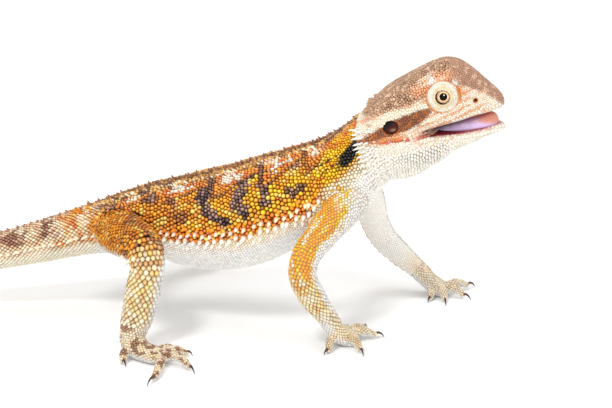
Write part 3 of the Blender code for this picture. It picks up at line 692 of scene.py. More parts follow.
# Markings of the trunk, by x in millimetres and angle from the back's middle in degrees: where the dark
# wedges between the saddles lie, and the bars, each a stroke with half its width and its depth.
WEDGES = (-70.0, -57.5, -46.0, -28.4, -13.4, -0.4, 10.5)
BARS = (
    (((-13.3, 17), (-15.4, 31), (-18.8, 44), (-20.2, 60), (-18.0, 76)), 1.75, 1.0),
    (((-13.0, 24), (-11.6, 44), (-12.8, 58), (-11.2, 77)), 1.6, 1.0),
    (((-28.3, 17), (-29.8, 36), (-30.2, 50), (-27.8, 68), (-23.4, 84)), 2.0, 1.0),
    (((-0.6, 15), (-2.0, 30), (-4.6, 44)), 1.7, 0.9),
    (((-6.2, 62), (-4.6, 72), (-1.6, 66)), 1.1, 0.9),
    (((-46.0, 20), (-46.6, 40)), 1.9, 0.95),
    (((-42.0, 44), (-39.4, 52), (-36.4, 72)), 1.5, 0.6),
    (((-57.4, 20), (-58.6, 46)), 1.8, 0.8),
    (((-52.0, 52), (-50.0, 70)), 1.4, 0.5),
)
# Millimetres to a degree round the trunk, half the width of the strip along the back, and the fringe.
DEGREE = 0.3
STRIP_ANGLE = 13.5
FRINGE_ANGLES = (87.0, 102.0)
# Middles of the dark bars on the tail.
TAIL_BARS = (-79.0, -88.5, -98.5, -109.0, -120.0, -131.5, -143.5, -156.0, -169.0, -182.0, -195.0)


def stroke_gap(x, angle, stroke):
    """How many millimetres places lie from a stroke."""
    gap = np.full(len(x), 99.0)
    for (x0, a0), (x1, a1) in zip(stroke, stroke[1:]):
        run, drop = x1 - x0, (a1 - a0) * DEGREE
        t = np.clip(((x - x0) * run + (angle - a0) * DEGREE * drop) / (run ** 2 + drop ** 2), 0, 1)
        gap = np.minimum(gap, np.hypot(x - x0 - t * run, (angle - a0) * DEGREE - t * drop))
    return gap


def plain_paint(count, paint):
    return np.tile(linear(paint), (count, 1))


def paint_flank(x, angle, points):
    """Amber and yellow beads between dark ragged bars."""
    grain = cloud(points, 1.15, 3)
    flank = plain_paint(len(x), "amber")
    flank = mix(flank, "yellow", ramp(0.4, 0.62, cloud(points, 2.6, 4)) * ramp(-36, -10, x))
    flank = mix(flank, "umber", ramp(0.46, 0.66, cloud(points, 3.0, 5)) * (0.3 + 0.35 * ramp(-16, -40, x)))
    flank = mix(flank, "pale_gold", 0.9 * ramp(0.66, 0.74, grain))
    flank = mix(flank, "umber", 0.8 * ramp(0.34, 0.26, grain))
    ragged = 2.6 * (grain - 0.5) + 2.2 * (cloud(points, 2.2, 6) - 0.5) + 0.15
    for stroke, half_width, depth in BARS:
        gap = stroke_gap(x, angle, stroke) + ragged
        dark = mix(plain_paint(len(x), "bar"), "bar_top", ramp(0.44, 0.64, cloud(points, 1.3, 7)))
        flank = mix(flank, dark, depth * ramp(half_width + 0.35, half_width - 0.35, gap))
    return flank


def paint_saddles(body, x, angle, points):
    """Rust fields between the wedges, edged in orange, with a cluster of cream spiny scales."""
    k = np.clip(np.searchsorted(WEDGES, x) - 1, 0, len(WEDGES) - 2)
    wedges = np.array(WEDGES)
    along = np.clip((x - wedges[k]) / (wedges[k + 1] - wedges[k]), 0, 1)
    lower = 50 - 24 * along
    span = wedges[k + 1] - wedges[k]
    inside = np.minimum((lower - angle) * DEGREE, np.minimum(along - 0.1, 0.96 - along) * span)
    inside = inside + 0.5 * (cloud(points, 1.6, 47) - 0.5)
    field = mix(plain_paint(len(x), "saddle"), "umber", ramp(0.5, 0.7, cloud(points, 1.3, 8)))
    field = mix(field, "amber", 0.6 * ramp(0.5, 0.7, cloud(points, 2.0, 9)))
    cluster = np.hypot((along - 0.45) * 11.0, (angle - 25) * DEGREE)
    field = mix(field, "cream", ramp(4.0, 1.6, cluster) * ramp(0.44, 0.54, cloud(points, 1.1, 10)))
    field = mix(field, "saddle_edge", 0.9 * ramp(1.7, 1.2, inside) * ramp(0.25, 0.4, cloud(points, 1.2, 48)))
    body = mix(body, "rim_shade", 0.75 * ramp(-1.7, -1.1, inside) * ramp(44, 30, x))
    return mix(body, field, ramp(-0.3, 0.2, inside))


def paint_tail(x, angle, points):
    """Broken brown bars on cream, orange near the hips, white below."""
    x = x + 5.0 * (cloud(points, 3.6, 11) - 0.5) + 2.6 * (cloud(points, 1.3, 12) - 0.5)
    top = plain_paint(len(x), "tail_cream")
    top = mix(top, "tail_orange", 0.5 * ramp(0.45, 0.65, cloud(points, 3.0, 13)) * ramp(-120, -80, x))
    hips = band(x, -67.5, 6.0, 1.5) * ramp(104, 84, angle)
    top = mix(top, "amber", hips * ramp(0.3, 0.6, cloud(points, 2.4, 14)))
    top = mix(top, "saddle", hips * 0.7 * ramp(0.5, 0.65, cloud(points, 1.8, 15)))
    for middle in TAIL_BARS:
        half = 2.9 + 0.02 * (middle + 79)
        bar = band(x, middle, half, 1.0) * ramp(86, 58, angle + 30 * (cloud(points, 3.0, 16) - 0.5))
        top = mix(top, "tail_brown", bar * ramp(0.3, 0.5, cloud(points, 1.6, 17)))
        top = mix(top, "bar", 0.45 * bar * ramp(0.52, 0.7, cloud(points, 1.2, 18)))
    top = mix(top, "pale_cream", 0.8 * ramp(0.68, 0.76, cloud(points, 1.2, 19)))
    return mix(top, "cream", ramp(92, 114, angle))


def paint_trunk(spot, points):
    """Strip, saddles, barred flank, spined fringe and pale belly, with the neck and tail."""
    x = points[:, 0] + 1.2 * (cloud(points, 4.0, 1) - 0.5)
    angle = spot["angle"] + 8 * (cloud(points, 5.0, 2) - 0.5)
    body = paint_flank(x, angle, points)
    body = paint_saddles(body, x, angle, points)
    strip = mix(plain_paint(len(x), "strip"), "strip_dark", ramp(0.42, 0.62, cloud(points, 1.3, 20)))
    edge = STRIP_ANGLE + 0.4 * np.maximum(-22 - x, 0)
    body = mix(body, strip, ramp(edge + 1.2, edge - 1.2, angle))

    fringe = band(angle, sum(FRINGE_ANGLES) / 2, (FRINGE_ANGLES[1] - FRINGE_ANGLES[0]) / 2, 2.5)
    lively = mix(plain_paint(len(x), "fringe"), "umber", 0.8 * ramp(0.55, 0.7, cloud(points, 1.2, 21)))
    lively = mix(lively, "pale_gold", ramp(0.36, 0.28, cloud(points, 1.1, 22)))
    body = mix(body, lively, fringe)
    under = plain_paint(len(x), "belly")
    under = mix(under, "pale_gold", 0.55 * ramp(122, 101, angle))
    under = mix(under, "white", ramp(0.5, 0.8, cloud(points, 6.0, 23)))
    body = mix(body, under, ramp(FRINGE_ANGLES[1] - 1.5, FRINGE_ANGLES[1] + 2.5, angle))

    side_neck = mix(plain_paint(len(x), "amber"), "yellow", ramp(0.4, 0.65, cloud(points, 2.0, 24)))
    side_neck = mix(side_neck, "saddle", 0.8 * ramp(46, 32, angle) * ramp(0.35, 0.6, cloud(points, 2.0, 25)))
    side_neck = mix(side_neck, strip, ramp(24, 16, angle))
    side_neck = mix(side_neck, "pale_cream", ramp(76, 92, angle))
    side_neck = mix(side_neck, "white", ramp(94, 112, angle))
    body = mix(body, side_neck, ramp(2.0, 7.0, x))
    patch = np.hypot((x - 13.2) / 3.2, (angle - 65) / 10) + 0.5 * (cloud(points, 1.4, 26) - 0.5)
    body = mix(body, "olive", ramp(1.4, 1.1, patch))
    body = mix(body, "black", ramp(1.1, 0.95, patch))
    return mix(body, paint_tail(points[:, 0], spot["angle"], points), ramp(-60, -66, x))


def paint_limb(spot, points, normals, name):
    """Orange streaks on the upper arm, large golden scales further down, pale inside and in front."""
    outward = normals[:, 1] * (1 if name.endswith("left") else -1)
    share = spot["share"]
    grain = cloud(points, 1.3, 27)
    body = mix(plain_paint(len(points), "limb_tan"), "limb_gold", ramp(0.4, 0.6, cloud(points, 2.4, 28)))
    body = mix(body, "limb_pale", 0.75 * ramp(0.5, 0.62, grain))
    body = mix(body, "rust", 0.4 * ramp(0.34, 0.24, grain))
    lengthwise = np.column_stack([share * 8, spot["angle"] / 11, np.zeros(len(points))])
    streaks = cloud(lengthwise, 1.0, 29)
    if name.startswith("arm"):
        upper = mix(plain_paint(len(points), "limb_orange"), "yellow", ramp(0.38, 0.54, streaks))
        upper = mix(upper, "pale_cream", ramp(0.62, 0.72, streaks))
        body = mix(body, upper, ramp(0.66, 0.5, share + 0.14 * (streaks - 0.5)))
        shoulder = ramp(0.14, 0.0, share) * ramp(0.4, 0.55, grain)
        body = mix(body, "limb_pale", shoulder)
        body = mix(body, "limb_pale", 0.5 * ramp(0.6, 0.75, share) * ramp(0.4, 0.55, cloud(points, 1.0, 45)))
        wider = 0.4 * ramp(0.62, 0.45, share) + 0.5 * ramp(0.16, 0.04, share)
        front = np.maximum(normals[:, 0], 0) * (0.42 + wider)
        rear = 0.5 * np.maximum(-normals[:, 0], 0) * ramp(-0.5, 0.0, outward)
        pale = ramp(0.3, 0.02, 0.75 * outward + rear - front)
    else:
        upper = mix(plain_paint(len(points), "umber"), "amber", ramp(0.35, 0.55, grain))
        upper = mix(upper, "pale_gold", 0.8 * ramp(0.58, 0.7, cloud(points, 1.1, 30)))
        upper = mix(upper, "temple", 0.7 * ramp(0.56, 0.66, cloud(points, 2.2, 46)))
        flank = paint_flank(points[:, 0], np.full(len(points), 60.0), points)
        upper = mix(upper, flank, ramp(0.34, 0.16, share))
        body = mix(body, upper, ramp(0.52, 0.36, share + 0.1 * (grain - 0.5)))
        front = 1.1 * np.maximum(normals[:, 0], 0) * ramp(0.4, 0.6, share)
        pale = ramp(0.15, -0.35, 0.8 * outward - front + 0.9 * normals[:, 2] * ramp(0.6, 0.3, share))
    body = mix(body, "limb_under", pale * (1 - 0.45 * ramp(0.7, 1.0, share)))
    wrist = paint_foot(points, normals, name.replace("arm", "hand").replace("leg", "foot"))
    return mix(body, wrist, ramp(0.8, 1.0, share))


def paint_foot(points, normals, name):
    """Pale toes, with brown marks on top of the hind feet; hands are paler on their inner side."""
    body = mix(plain_paint(len(points), "toe"), "limb_tan", 0.5 * ramp(0.4, 0.6, cloud(points, 1.6, 31)))
    brown = 0.8 if name.startswith("foot") else 0.2
    marks = ramp(0.5, 0.58, cloud(points, 1.2, 32)) * ramp(-0.1, 0.3, normals[:, 2])
    body = mix(body, "temple", brown * marks)
    if name.startswith("hand"):
        outward = normals[:, 1] * (1 if "left" in name else -1)
        body = mix(body, "limb_under", 0.25 * ramp(0.3, -0.5, outward))
    return mix(body, "limb_under", ramp(0.1, -0.5, normals[:, 2]))


def paint_face(x, z, points):
    """Cream cheeks with warm stripes, a brown band to the ear and a cream streak above it."""
    cheek = plain_paint(len(x), "lip")
    stripe = np.sin((z - 0.15 * x) * 3.4 + 1.8 * cloud(points, 2.4, 33))
    cheek = mix(cheek, "blush", 0.8 * ramp(0.1, 0.8, stripe) * ramp(1.0, 5.0, x) * ramp(26, 21, x))
    cheek = mix(cheek, "loreal", np.exp(-(((x - 17.4) / 1.6) ** 2 + ((z - 9.2) / 1.3) ** 2)))
    cheek = mix(cheek, "cream", 0.8 * np.exp(-(((x - 9.4) / 2.0) ** 2 + ((z - 4.0) / 0.8) ** 2)))
    rear = ramp(10.0, 8.0, x)
    wave = 0.8 * (cloud(points, 1.6, 34) - 0.5)
    middle = np.interp(x, [-14, -8, -4, 4, 9], [2.4, 3.6, 4.6, 5.6, 7.0])
    half = np.interp(x, [-14, -8, -4, 4, 9], [0.8, 1.4, 2.2, 2.2, 0.9])
    brown = rear * ramp(half + 0.4, half - 0.4, np.abs(z - middle + wave))
    dark = mix(plain_paint(len(x), "temple"), "rust", 0.8 * ramp(0.4, 0.55, cloud(points, 0.9, 35)))
    cheek = mix(cheek, dark, brown)
    top = np.interp(x, [-14, -8, -5, 8], [6.6, 8.1, 9.3, 9.5])
    streak = rear * band(z + wave, top, 1.8, 0.5)
    cheek = mix(cheek, "cream", streak)
    pink = band(z + 0.7 * wave, top + 0.3, 0.5, 0.35) * ramp(0.35, 0.55, cloud(points, 1.4, 42))
    cheek = mix(cheek, "flush", 0.7 * rear * pink)
    warm = np.exp(-(((x + 5.0) / 5.5) ** 2 + ((z - 1.3) / 1.1) ** 2))
    return mix(cheek, "loreal", np.clip(1.3 * warm, 0, 1) * ramp(0.15, 0.4, cloud(points, 1.2, 36)))


def paint_eye_rings(body, x, y, z, points):
    """Cream lids ringed in orange, dark at the opening, and the nostril's cream ring."""
    beside = ramp(4.6, 6.0, y)
    eye = np.hypot(x - EYE_AT[0] - 0.2, z - EYE_AT[2] - 0.1)
    turn = np.arctan2(z - EYE_AT[2] - 0.1, x - EYE_AT[0] - 0.2)
    lobes = np.exp(-(turn / 0.7) ** 2) + np.exp(-(((turn % math.tau) - 3.6) / 0.85) ** 2)
    body = mix(body, "lid", ramp(4.6, 4.3, eye) * beside)
    golden = 0.3 * ramp(0.5, 0.65, cloud(points, 1.1, 43)) * ramp(4.4, 4.0, eye)
    body = mix(body, "pale_gold", golden * beside)
    body = mix(body, "pale_gold", 0.5 * band(eye, 2.7, 0.35, 0.25) * beside)
    body = mix(body, "throat", 0.2 * band(eye, 3.5, 0.7, 0.5) * ramp(9.5, 7.5, z) * beside)
    line = band(eye, 4.55, 0.14 + 0.22 * lobes, 0.16) * (0.4 + 0.6 * np.clip(lobes, 0, 1))
    body = mix(body, "orange_line", line * beside)
    body = mix(body, "claw", ramp(2.3, 2.2, eye) * beside)
    nose = np.hypot(x - NOSTRIL_AT[0], z - NOSTRIL_AT[2])
    body = mix(body, "cream", ramp(2.2, 1.5, nose) * ramp(2, 4, y))
    body = mix(body, "orange_line", 0.9 * ramp(1.0, 0.8, nose) * ramp(2, 4, y))
    return mix(body, "nostril", ramp(0.62, 0.4, nose) * ramp(2, 4, y))


def paint_head(spot, points, normals):
    """Tan crown, striped face, ringed eye, cream lips and a white beard."""
    x, y, z = spot["head"].T
    y = np.abs(y)
    body = mix(plain_paint(len(x), "crown"), "crown_dark", 0.6 * ramp(0.48, 0.7, cloud(points, 1.0, 37)))
    body = mix(body, "snout", 0.7 * ramp(14, 20, x))
    body = mix(body, "tail_cream", 0.55 * ramp(0.6, 0.74, cloud(points, 0.9, 38)))
    side_top = 10.4 + 0.1 * (x - 8) - 0.055 * np.maximum(x - 14, 0) ** 2
    body = mix(body, paint_face(x, z, points), ramp(side_top + 0.8, side_top - 0.4, z))
    flush = np.exp(-(((x - 7.4) / 2.6) ** 2 + ((z - 12.9) / 1.9) ** 2))
    flush = flush + np.exp(-(((x - 12.4) / 4.2) ** 4 + ((z - 14.6) / 1.3) ** 2))
    mottle = 0.7 + 0.3 * ramp(0.3, 0.6, cloud(points, 0.9, 39))
    body = mix(body, "flush", np.clip(1.3 * flush, 0, 1) * mottle)
    for start, rise, lean, reach in ((10.6, 14.25, 0.08, 4.4), (8.6, 15.6, 0.3, 2.4)):
        ridge = np.exp(-(((x - start) / reach) ** 4 + ((z - rise - lean * (x - start)) / 0.4) ** 2))
        body = mix(body, "cream", 0.8 * ridge * ramp(3, 5, y))
    for start, rise in ((10.6, 14.7), (16.9, 12.2)):
        lash = np.exp(-(((x - start) / 0.8) ** 2 + ((z - rise) / 0.9) ** 2))
        body = mix(body, "white", np.clip(1.4 * lash, 0, 1) * ramp(3, 5, y))
    body = paint_eye_rings(body, x, y, z, points)

    below = plain_paint(len(x), "beard")
    stripe = np.sin((z - 0.1 * x) * 4.0 + 1.8 * cloud(points, 1.8, 40))
    below = mix(below, "blush", 0.5 * ramp(0.4, 0.9, stripe) * ramp(-5.0, -3.0, z) * ramp(-2, 4, x))
    streaks = ramp(0.5, 0.68, cloud(np.column_stack([x / 0.7, y / 3.0, z / 3.0]), 1.0, 41))
    below = mix(below, "throat", 0.3 * streaks * ramp(-4.5, -6.5, z) * ramp(-9, -4, x))
    body = mix(body, below, ramp(0.3, -1.6, z - 0.1 * np.maximum(4 - x, 0)))
    lip_line = band(z, -0.8 + 0.154 * (6.3 - x), 0.34, 0.16) * ramp(7.0, 4.0, x) * ramp(-12, -4, x)
    body = mix(body, "gum", lip_line * 0.9)
    local = normals @ HEAD[:3, :3]
    return mix(body, inner_mouth_colour(x, points), inside_mouth(x, y, z, local))


def inside_mouth(x, y, z, local):
    """How far a point lies on the inner side of the lips."""
    facing = np.where(z > -0.9, -local[:, 2], local[:, 2])
    reach = np.interp(x, [0, 5, 11, 16, 20, 23.5, 26, 28], [11.2, 10.0, 8.4, 7.0, 5.6, 4.2, 2.8, 1.0])
    within = ramp(0.25, -0.5, y - reach + 0.5)
    return ramp(0.1, 0.5, facing) * ramp(0.6, 1.6, x) * band(z, -1.0, 3.2, 0.5) * within


def inner_mouth_colour(x, points):
    """Red and spotted at the corner of the mouth, pinker towards its front."""
    spots = 0.6 * ramp(0.5, 0.6, cloud(points, 0.8, 44)) * ramp(14, 9, x)
    shade = mix(plain_paint(len(x), "mouth"), "claw", spots)
    return mix(shade, "mouth_pink", ramp(12, 22, x) * (0.5 + 0.5 * cloud(points, 1.5, 24)))


def markings(points, normals):
    """The colour of the animal at pose points in millimetres, the same for skin and scales."""
    spot = locate(points)
    colours = np.zeros((len(points), 3))
    for k in range(-1, len(ZONES)):
        here = spot["zone"] == k
        if not here.any():
            continue
        part = {key: value[here] for key, value in spot.items()}
        name = "head" if k < 0 else ZONES[k]
        if name == "head":
            colours[here] = paint_head(part, points[here], normals[here])
        elif name == "trunk":
            colours[here] = paint_trunk(part, points[here])
        elif name[:3] in ("arm", "leg"):
            colours[here] = paint_limb(part, points[here], normals[here], name)
        else:
            colours[here] = paint_foot(points[here], normals[here], name)
    return colours, spot


def write_colours(mesh, colours):
    """Linear colours, one for each vertex, as the attribute that the materials read."""
    layer = mesh.color_attributes.new("Marking", "FLOAT_COLOR", "POINT")
    values = np.ones((len(colours), 4))
    values[:, :3] = colours
    layer.data.foreach_set("color", values.ravel())


def mesh_arrays(mesh):
    """Places in pose millimetres and normals of a mesh's vertices."""
    places = np.empty(3 * len(mesh.vertices))
    mesh.vertices.foreach_get("co", places)
    normals = np.empty(3 * len(mesh.vertices))
    mesh.vertices.foreach_get("normal", normals)
    return places.reshape(-1, 3) / MM, normals.reshape(-1, 3)


# Scale kinds: height in millimetres, then as shares of the spacing how far the rear edge is tilted up and
# the rear point reaches back, how much a ridge stands up, and how flat the top is.
SCALE_KINDS = {
    "back": (0.42, 0.30, 0.30, 0.25, 0.1),
    "flank": (0.72, 0.08, 0.05, 0.0, 0.0),
    "belly": (0.2, 0.26, 0.22, 0.08, 0.3),
    "tail": (0.36, 0.30, 0.34, 0.3, 0.1),
    "limb": (0.3, 0.2, 0.24, 0.15, 0.35),
    "inner": (0.12, 0.1, 0.1, 0.0, 0.6),
    "foot": (0.22, 0.2, 0.2, 0.1, 0.3),
    "crown": (0.18, 0.04, 0.0, 0.0, 0.5),
    "face": (0.1, 0.04, 0.05, 0.0, 0.7),
    "beard": (0.3, 0.32, 0.4, 0.1, 0.25),
    "lip": (0.1, 0.0, 0.0, 0.0, 0.9),
    "lid": (0.12, 0.0, 0.0, 0.0, 0.3),
}
KINDS = list(SCALE_KINDS)
SCALE_VALUES = np.array([SCALE_KINDS[name] for name in KINDS])
# How softly the scales of a kind are set off from each other by their dark gaps and by their
# painted shade and highlight, from 0 to 1.
SOFT_GAPS = {
    "crown": 0.2,
    "face": 0.66,
    "lip": 0.75,
    "lid": 0.55,
    "inner": 0.88,
    "belly": 0.38,
    "beard": 0.6,
    "foot": 0.4,
}
SOFTNESS = np.array([SOFT_GAPS.get(name, 0.0) for name in KINDS])
# Kinds that are softer still where they are pale.
PALE_KINDS = ("crown", "face", "lip")
# Spacing in millimetres on the inner side of the limbs, on hands and feet and on the belly, then along the
# tail and the trunk, by x.
INNER_SPACING = 0.72
FOOT_SPACING = 0.85
BELLY_SPACING = 0.86
TAIL_SPACINGS = ((-232, -200, -150, -100, -60), (0.5, 0.6, 0.8, 1.0, 1.15))
TRUNK_SPACINGS = ((-60, -40, 2, 20), (1.18, 1.28, 1.26, 0.95))
# Where the scales of the tail begin, by x, and those of the flank and the belly, by degrees from the top.
TAIL_START = -60
FLANK_ANGLE = 12
BELLY_ANGLE = 101
# How much longer than wide the scales of a kind are, and how irregular their size and place.
STRETCH = {"limb": 1.35, "tail": 1.25, "foot": 1.2, "back": 1.2, "beard": 1.7, "face": 1.15}
UNEVEN = {"flank": 0.3, "tail": 0.12, "limb": 0.12, "crown": 0.15, "beard": 0.04}
# Kinds whose scales lie in diamonds, and column and row pitches of diamonds and of other rows.
DIAMOND_KINDS = ("limb", "tail", "foot")
DIAMOND_PITCHES = (1.3, 0.67)
ROW_PITCHES = (1.0, 0.87)
# Below this height in the head frame the throat's scales hang in columns: the pitches across and along
# them, their slant, their first and last x, and the degrees that they run down and the step in degrees.
BEARD_TOP = -3.2
BEARD_COLUMNS = (0.86, 1.25)
BEARD_SLANT = 0.3
BEARD_REACH = (-15.0, 13.0)
BEARD_TURN = 86
BEARD_STEP = 0.8
# Rows of plates on the lips: whether on the upper lip, and how far above the lip's edge. Rays from this x
# in the head frame, turning this many degrees to either side of the snout in this many steps, find them.
LIP_ROWS = ((True, 0.5), (False, -0.5), (True, 1.35), (False, -1.4))
LIP_ORIGIN = 6.0
LIP_TURN = 118
LIP_STEPS = 1400
# How far apart the plates of a row are placed, and the spacing that they count with.
LIP_PITCH = 1.1
LIP_SPACING = 1.05
# Places tried for loose scales, and how much denser they are tried on the head.
LOOSE_TRIES = 120000
HEAD_DENSITY = 6.0
# Scales nearer than this share of their spacing are thinned out. Loose ones then move apart in rounds,
# each by this share of the push from this many neighbours.
THINNING = 0.74
RELAX_ROUNDS = 2
RELAX_PUSH = 0.42
RELAX_NEIGHBOURS = 7
# Neighbours that cut a scale's outline, and its least reach in millimetres and most as a share of spacing.
CELL_NEIGHBOURS = 14
CELL_LEAST = 0.12
CELL_MOST = 0.76
# Corners of a scale, how deep its rim lies in the skin, and the most scales in one piece.
SCALE_SIDES = 8
SCALE_SUNK = 0.25
PIECE_SCALES = 6200
# Families of scales: their finish, their slot and the kinds in them.
FAMILIES = {
    "flank": ("bead_scales", "back_skin", ("flank",)),
    "back": ("keeled_scales", "back_skin", ("back", "tail")),
    "belly": ("belly_scales", "pale_skin", ("belly", "inner")),
    "limb": ("keeled_scales", "limb_skin", ("limb",)),
    "foot": ("keeled_scales", "limb_skin", ("foot",)),
    "head": ("head_plates", "face_skin", ("crown", "face", "beard")),
    "lip": ("head_plates", "face_skin", ("lip", "lid")),
}
# Finishes: roughness, grain, how much the grain darkens, its bump, coat and shine.
FINISHES = {
    "skin": (0.6, 900, 0.3, 0.4, 0.0, 0.1),
    "bead_scales": (0.12, 1400, 0.2, 0.2, 0.0, 0.5),
    "keeled_scales": (0.34, 1400, 0.3, 0.35, 0.1, 0.25),
    "belly_scales": (0.4, 1400, 0.07, 0.15, 0.0, 0.25),
    "head_plates": (0.36, 1600, 0.24, 0.3, 0.1, 0.25),
    "spines": (0.34, 1400, 0.15, 0.2, 0.1, 0.25),
    "claw_horn": (0.22, 700, 0.2, 0.2, 0.3, 0.25),
    "eye": (0.0, 3000, 0.2, 0.0, 0.0, 0.12),
    "tongue": (0.3, 1200, 0.15, 0.5, 0.0, 0.15),
    "eardrum": (0.16, 800, 0.3, 0.1, 0.0, 0.12),
}
# Shares of red, green and blue in how light a colour looks.
LIGHTNESS = np.array([0.25, 0.6, 0.15])

# Spines along the trunk and tail: x from and to, spacing, degrees above the side line, height,
# radius at the root, lean to the rear and downwards, and colour of the point.
TRUNK_SPINES = (
    (-49, 6, 2.5, 2, 1.2, 0.7, 0.4, 0.5, "amber"),
    (-49, 6, 2.1, -3, 1.4, 0.85, 0.5, 0.5, "cream"),
    (-48, 5, 2.1, -9, 1.6, 0.98, 0.5, 0.6, "white"),
    (-46.6, 2, 2.3, -15, 1.2, 0.75, 0.5, 0.6, "white"),
    (-64, 15, 3.1, 84, 1.65, 0.6, 0.3, -0.3, "tail_brown"),
    (-64, 15, 1.6, 87, 1.2, 0.5, 0.4, 0.0, "strip_dark"),
    (-64, 13, 1.5, 79, 0.9, 0.5, 0.5, 0.0, "strip"),
    (-62, 11, 3.1, 68, 1.1, 0.5, 0.5, -0.2, "pale_cream"),
    (-110, -65, 2.3, 82, 1.3, 0.55, 0.6, 0.0, "tail_brown"),
    (-180, -112, 3.2, 80, 0.8, 0.4, 0.8, 0.0, "tail_brown"),
    (-104, -62, 1.9, 4, 1.4, 0.6, 0.7, 0.2, "cream"),
    (-182, -106, 3.0, 6, 0.8, 0.4, 0.8, 0.0, "cream"),
    (10, 16, 1.3, 30, 1.5, 0.5, 0.8, 0.2, "black"),
    (11, 17, 1.3, 20, 1.6, 0.5, 0.8, 0.3, "black"),
    (15, 21, 2.0, 80, 1.3, 0.55, 0.5, 0.0, "tail_brown"),
)
# Spines of the head: x in the head frame, degrees above the side from and to, count on a side, height,
# radius at the root and colour of the point.
HEAD_SPINES = (
    (-9.4, 34, 88, 8, 1.3, 0.5, "crown"),
    (-8.0, 44, 80, 5, 0.9, 0.42, "snout"),
    (-14.2, -54, 34, 14, 2.1, 0.5, "white"),
    (-12.8, -60, 28, 14, 1.9, 0.48, "white"),
    (-11.3, -66, 12, 13, 1.6, 0.45, "white"),
    (-9.6, -70, -8, 12, 1.4, 0.42, "white"),
    (-7.4, -74, -20, 11, 1.2, 0.4, "white"),
    (-5.0, -76, -28, 10, 1.0, 0.36, "white"),
)
# Spines on each side of a saddle: how many, at which shares of the way between wedges, how many degrees
# from the back's middle, how high, how thick and how far they lean to the rear.
SADDLE_SPINES = 13
SADDLE_SHARES = (0.25, 0.65)
SADDLE_ANGLES = (14, 30)
SADDLE_HEIGHTS = (0.8, 1.3)
SADDLE_RADIUS = 0.42
SADDLE_LEAN = 0.6
# Sides of a spine, its rings as shares of its height and of its radius, and how far its point bends over.
SPINE_SIDES = 6
SPINE_RINGS = ((-0.3, 1.0), (0.3, 0.8), (0.7, 0.42))
SPINE_BEND = 0.22


def zone_names(spot):
    """Which part each located point lies on: the head, the trunk, a limb, a hand or a foot."""
    return np.array(["head"] + ZONES)[spot["zone"] + 1]


def is_kind(kind, *names):
    """Which scales are of the kinds named."""
    return np.isin(kind, [KINDS.index(name) for name in names])


def limb_sizes(names, spot):
    """Spacing of the scales on the limbs, and whether they lie on the inner side."""
    share = spot["share"]
    arm = 0.95 + 0.2 * ramp(0.45, 0.65, share)
    leg = 1.2 + 0.3 * ramp(0.4, 0.55, share) - 0.3 * ramp(0.85, 1.0, share)
    is_arm = np.char.startswith(names, "arm")
    outward = spot["away"][:, 1] * np.where(np.char.endswith(names, "left"), 1, -1)
    inner = np.where(is_arm | (share > 0.45), outward < -0.15, spot["away"][:, 2] < -0.6)
    return np.where(is_arm, arm, leg), inner


def shape_kinds(spot):
    """The kind of scale and the spacing at every located point."""
    names = zone_names(spot)
    spacing, inner = limb_sizes(names, spot)
    kind = np.where(inner, KINDS.index("inner"), KINDS.index("limb"))
    spacing = np.where(inner, INNER_SPACING, spacing)
    foot = np.char.startswith(names, "hand") | np.char.startswith(names, "foot")
    kind[foot] = KINDS.index("foot")
    spacing[foot] = FOOT_SPACING

    x, angle = spot["x"], spot["angle"]
    tail = (names == "trunk") & (x < TAIL_START)
    trunk = (names == "trunk") & (x >= TAIL_START)
    for label, mask in (
        ("tail", tail),
        ("back", trunk & (angle < FLANK_ANGLE)),
        ("flank", trunk & (angle >= FLANK_ANGLE) & (angle < BELLY_ANGLE)),
        ("belly", trunk & (angle >= BELLY_ANGLE)),
    ):
        kind[mask] = KINDS.index(label)
    spacing = np.where(tail, np.interp(x, *TAIL_SPACINGS), spacing)
    spacing = np.where(trunk, np.interp(x, *TRUNK_SPACINGS), spacing)
    spacing[is_kind(kind, "belly")] = BELLY_SPACING

    head = names == "head"
    hx, _, hz = spot["head"].T
    for label, mask, size in (
        ("crown", head & (hz > 8), 0.8),
        ("face", head & (hz <= 8), 0.62),
        ("face", head & (hx > 16), 0.6),
        ("beard", head & (hz < BEARD_TOP) & (hx < 12), 0.86),
        ("beard", head & (hx < -9) & (hz < 6), 0.9),
        ("face", head & (hz < BEARD_TOP) & (hx >= 12), 0.7),
    ):
        kind[mask] = KINDS.index(label)
        spacing[mask] = size
    return kind, spacing


def stretches(kind):
    return np.array([STRETCH.get(name, 1.0) for name in KINDS])[kind]


def unevenness(kind):
    return np.array([UNEVEN.get(name, 0.05) for name in KINDS])[kind]


def lie(spot, normals):
    """The direction in which the scales point, along the skin."""
    along = AXES["along"][spot["nearest"]].copy()
    along[spot["zone"] == 0] *= -1
    head = spot["zone"] == -1
    hang = ramp(BEARD_TOP + 1.0, BEARD_TOP - 0.5, spot["head"][:, 2]) * ramp(14, 10, spot["head"][:, 0])
    back = -HEAD[:3, 0] * (1 - 0.7 * hang)[:, None] - HEAD[:3, 2] * hang[:, None]
    along[head] = back[head]
    along = along - normals * (along * normals).sum(axis=1)[:, None]
    return unit(along)


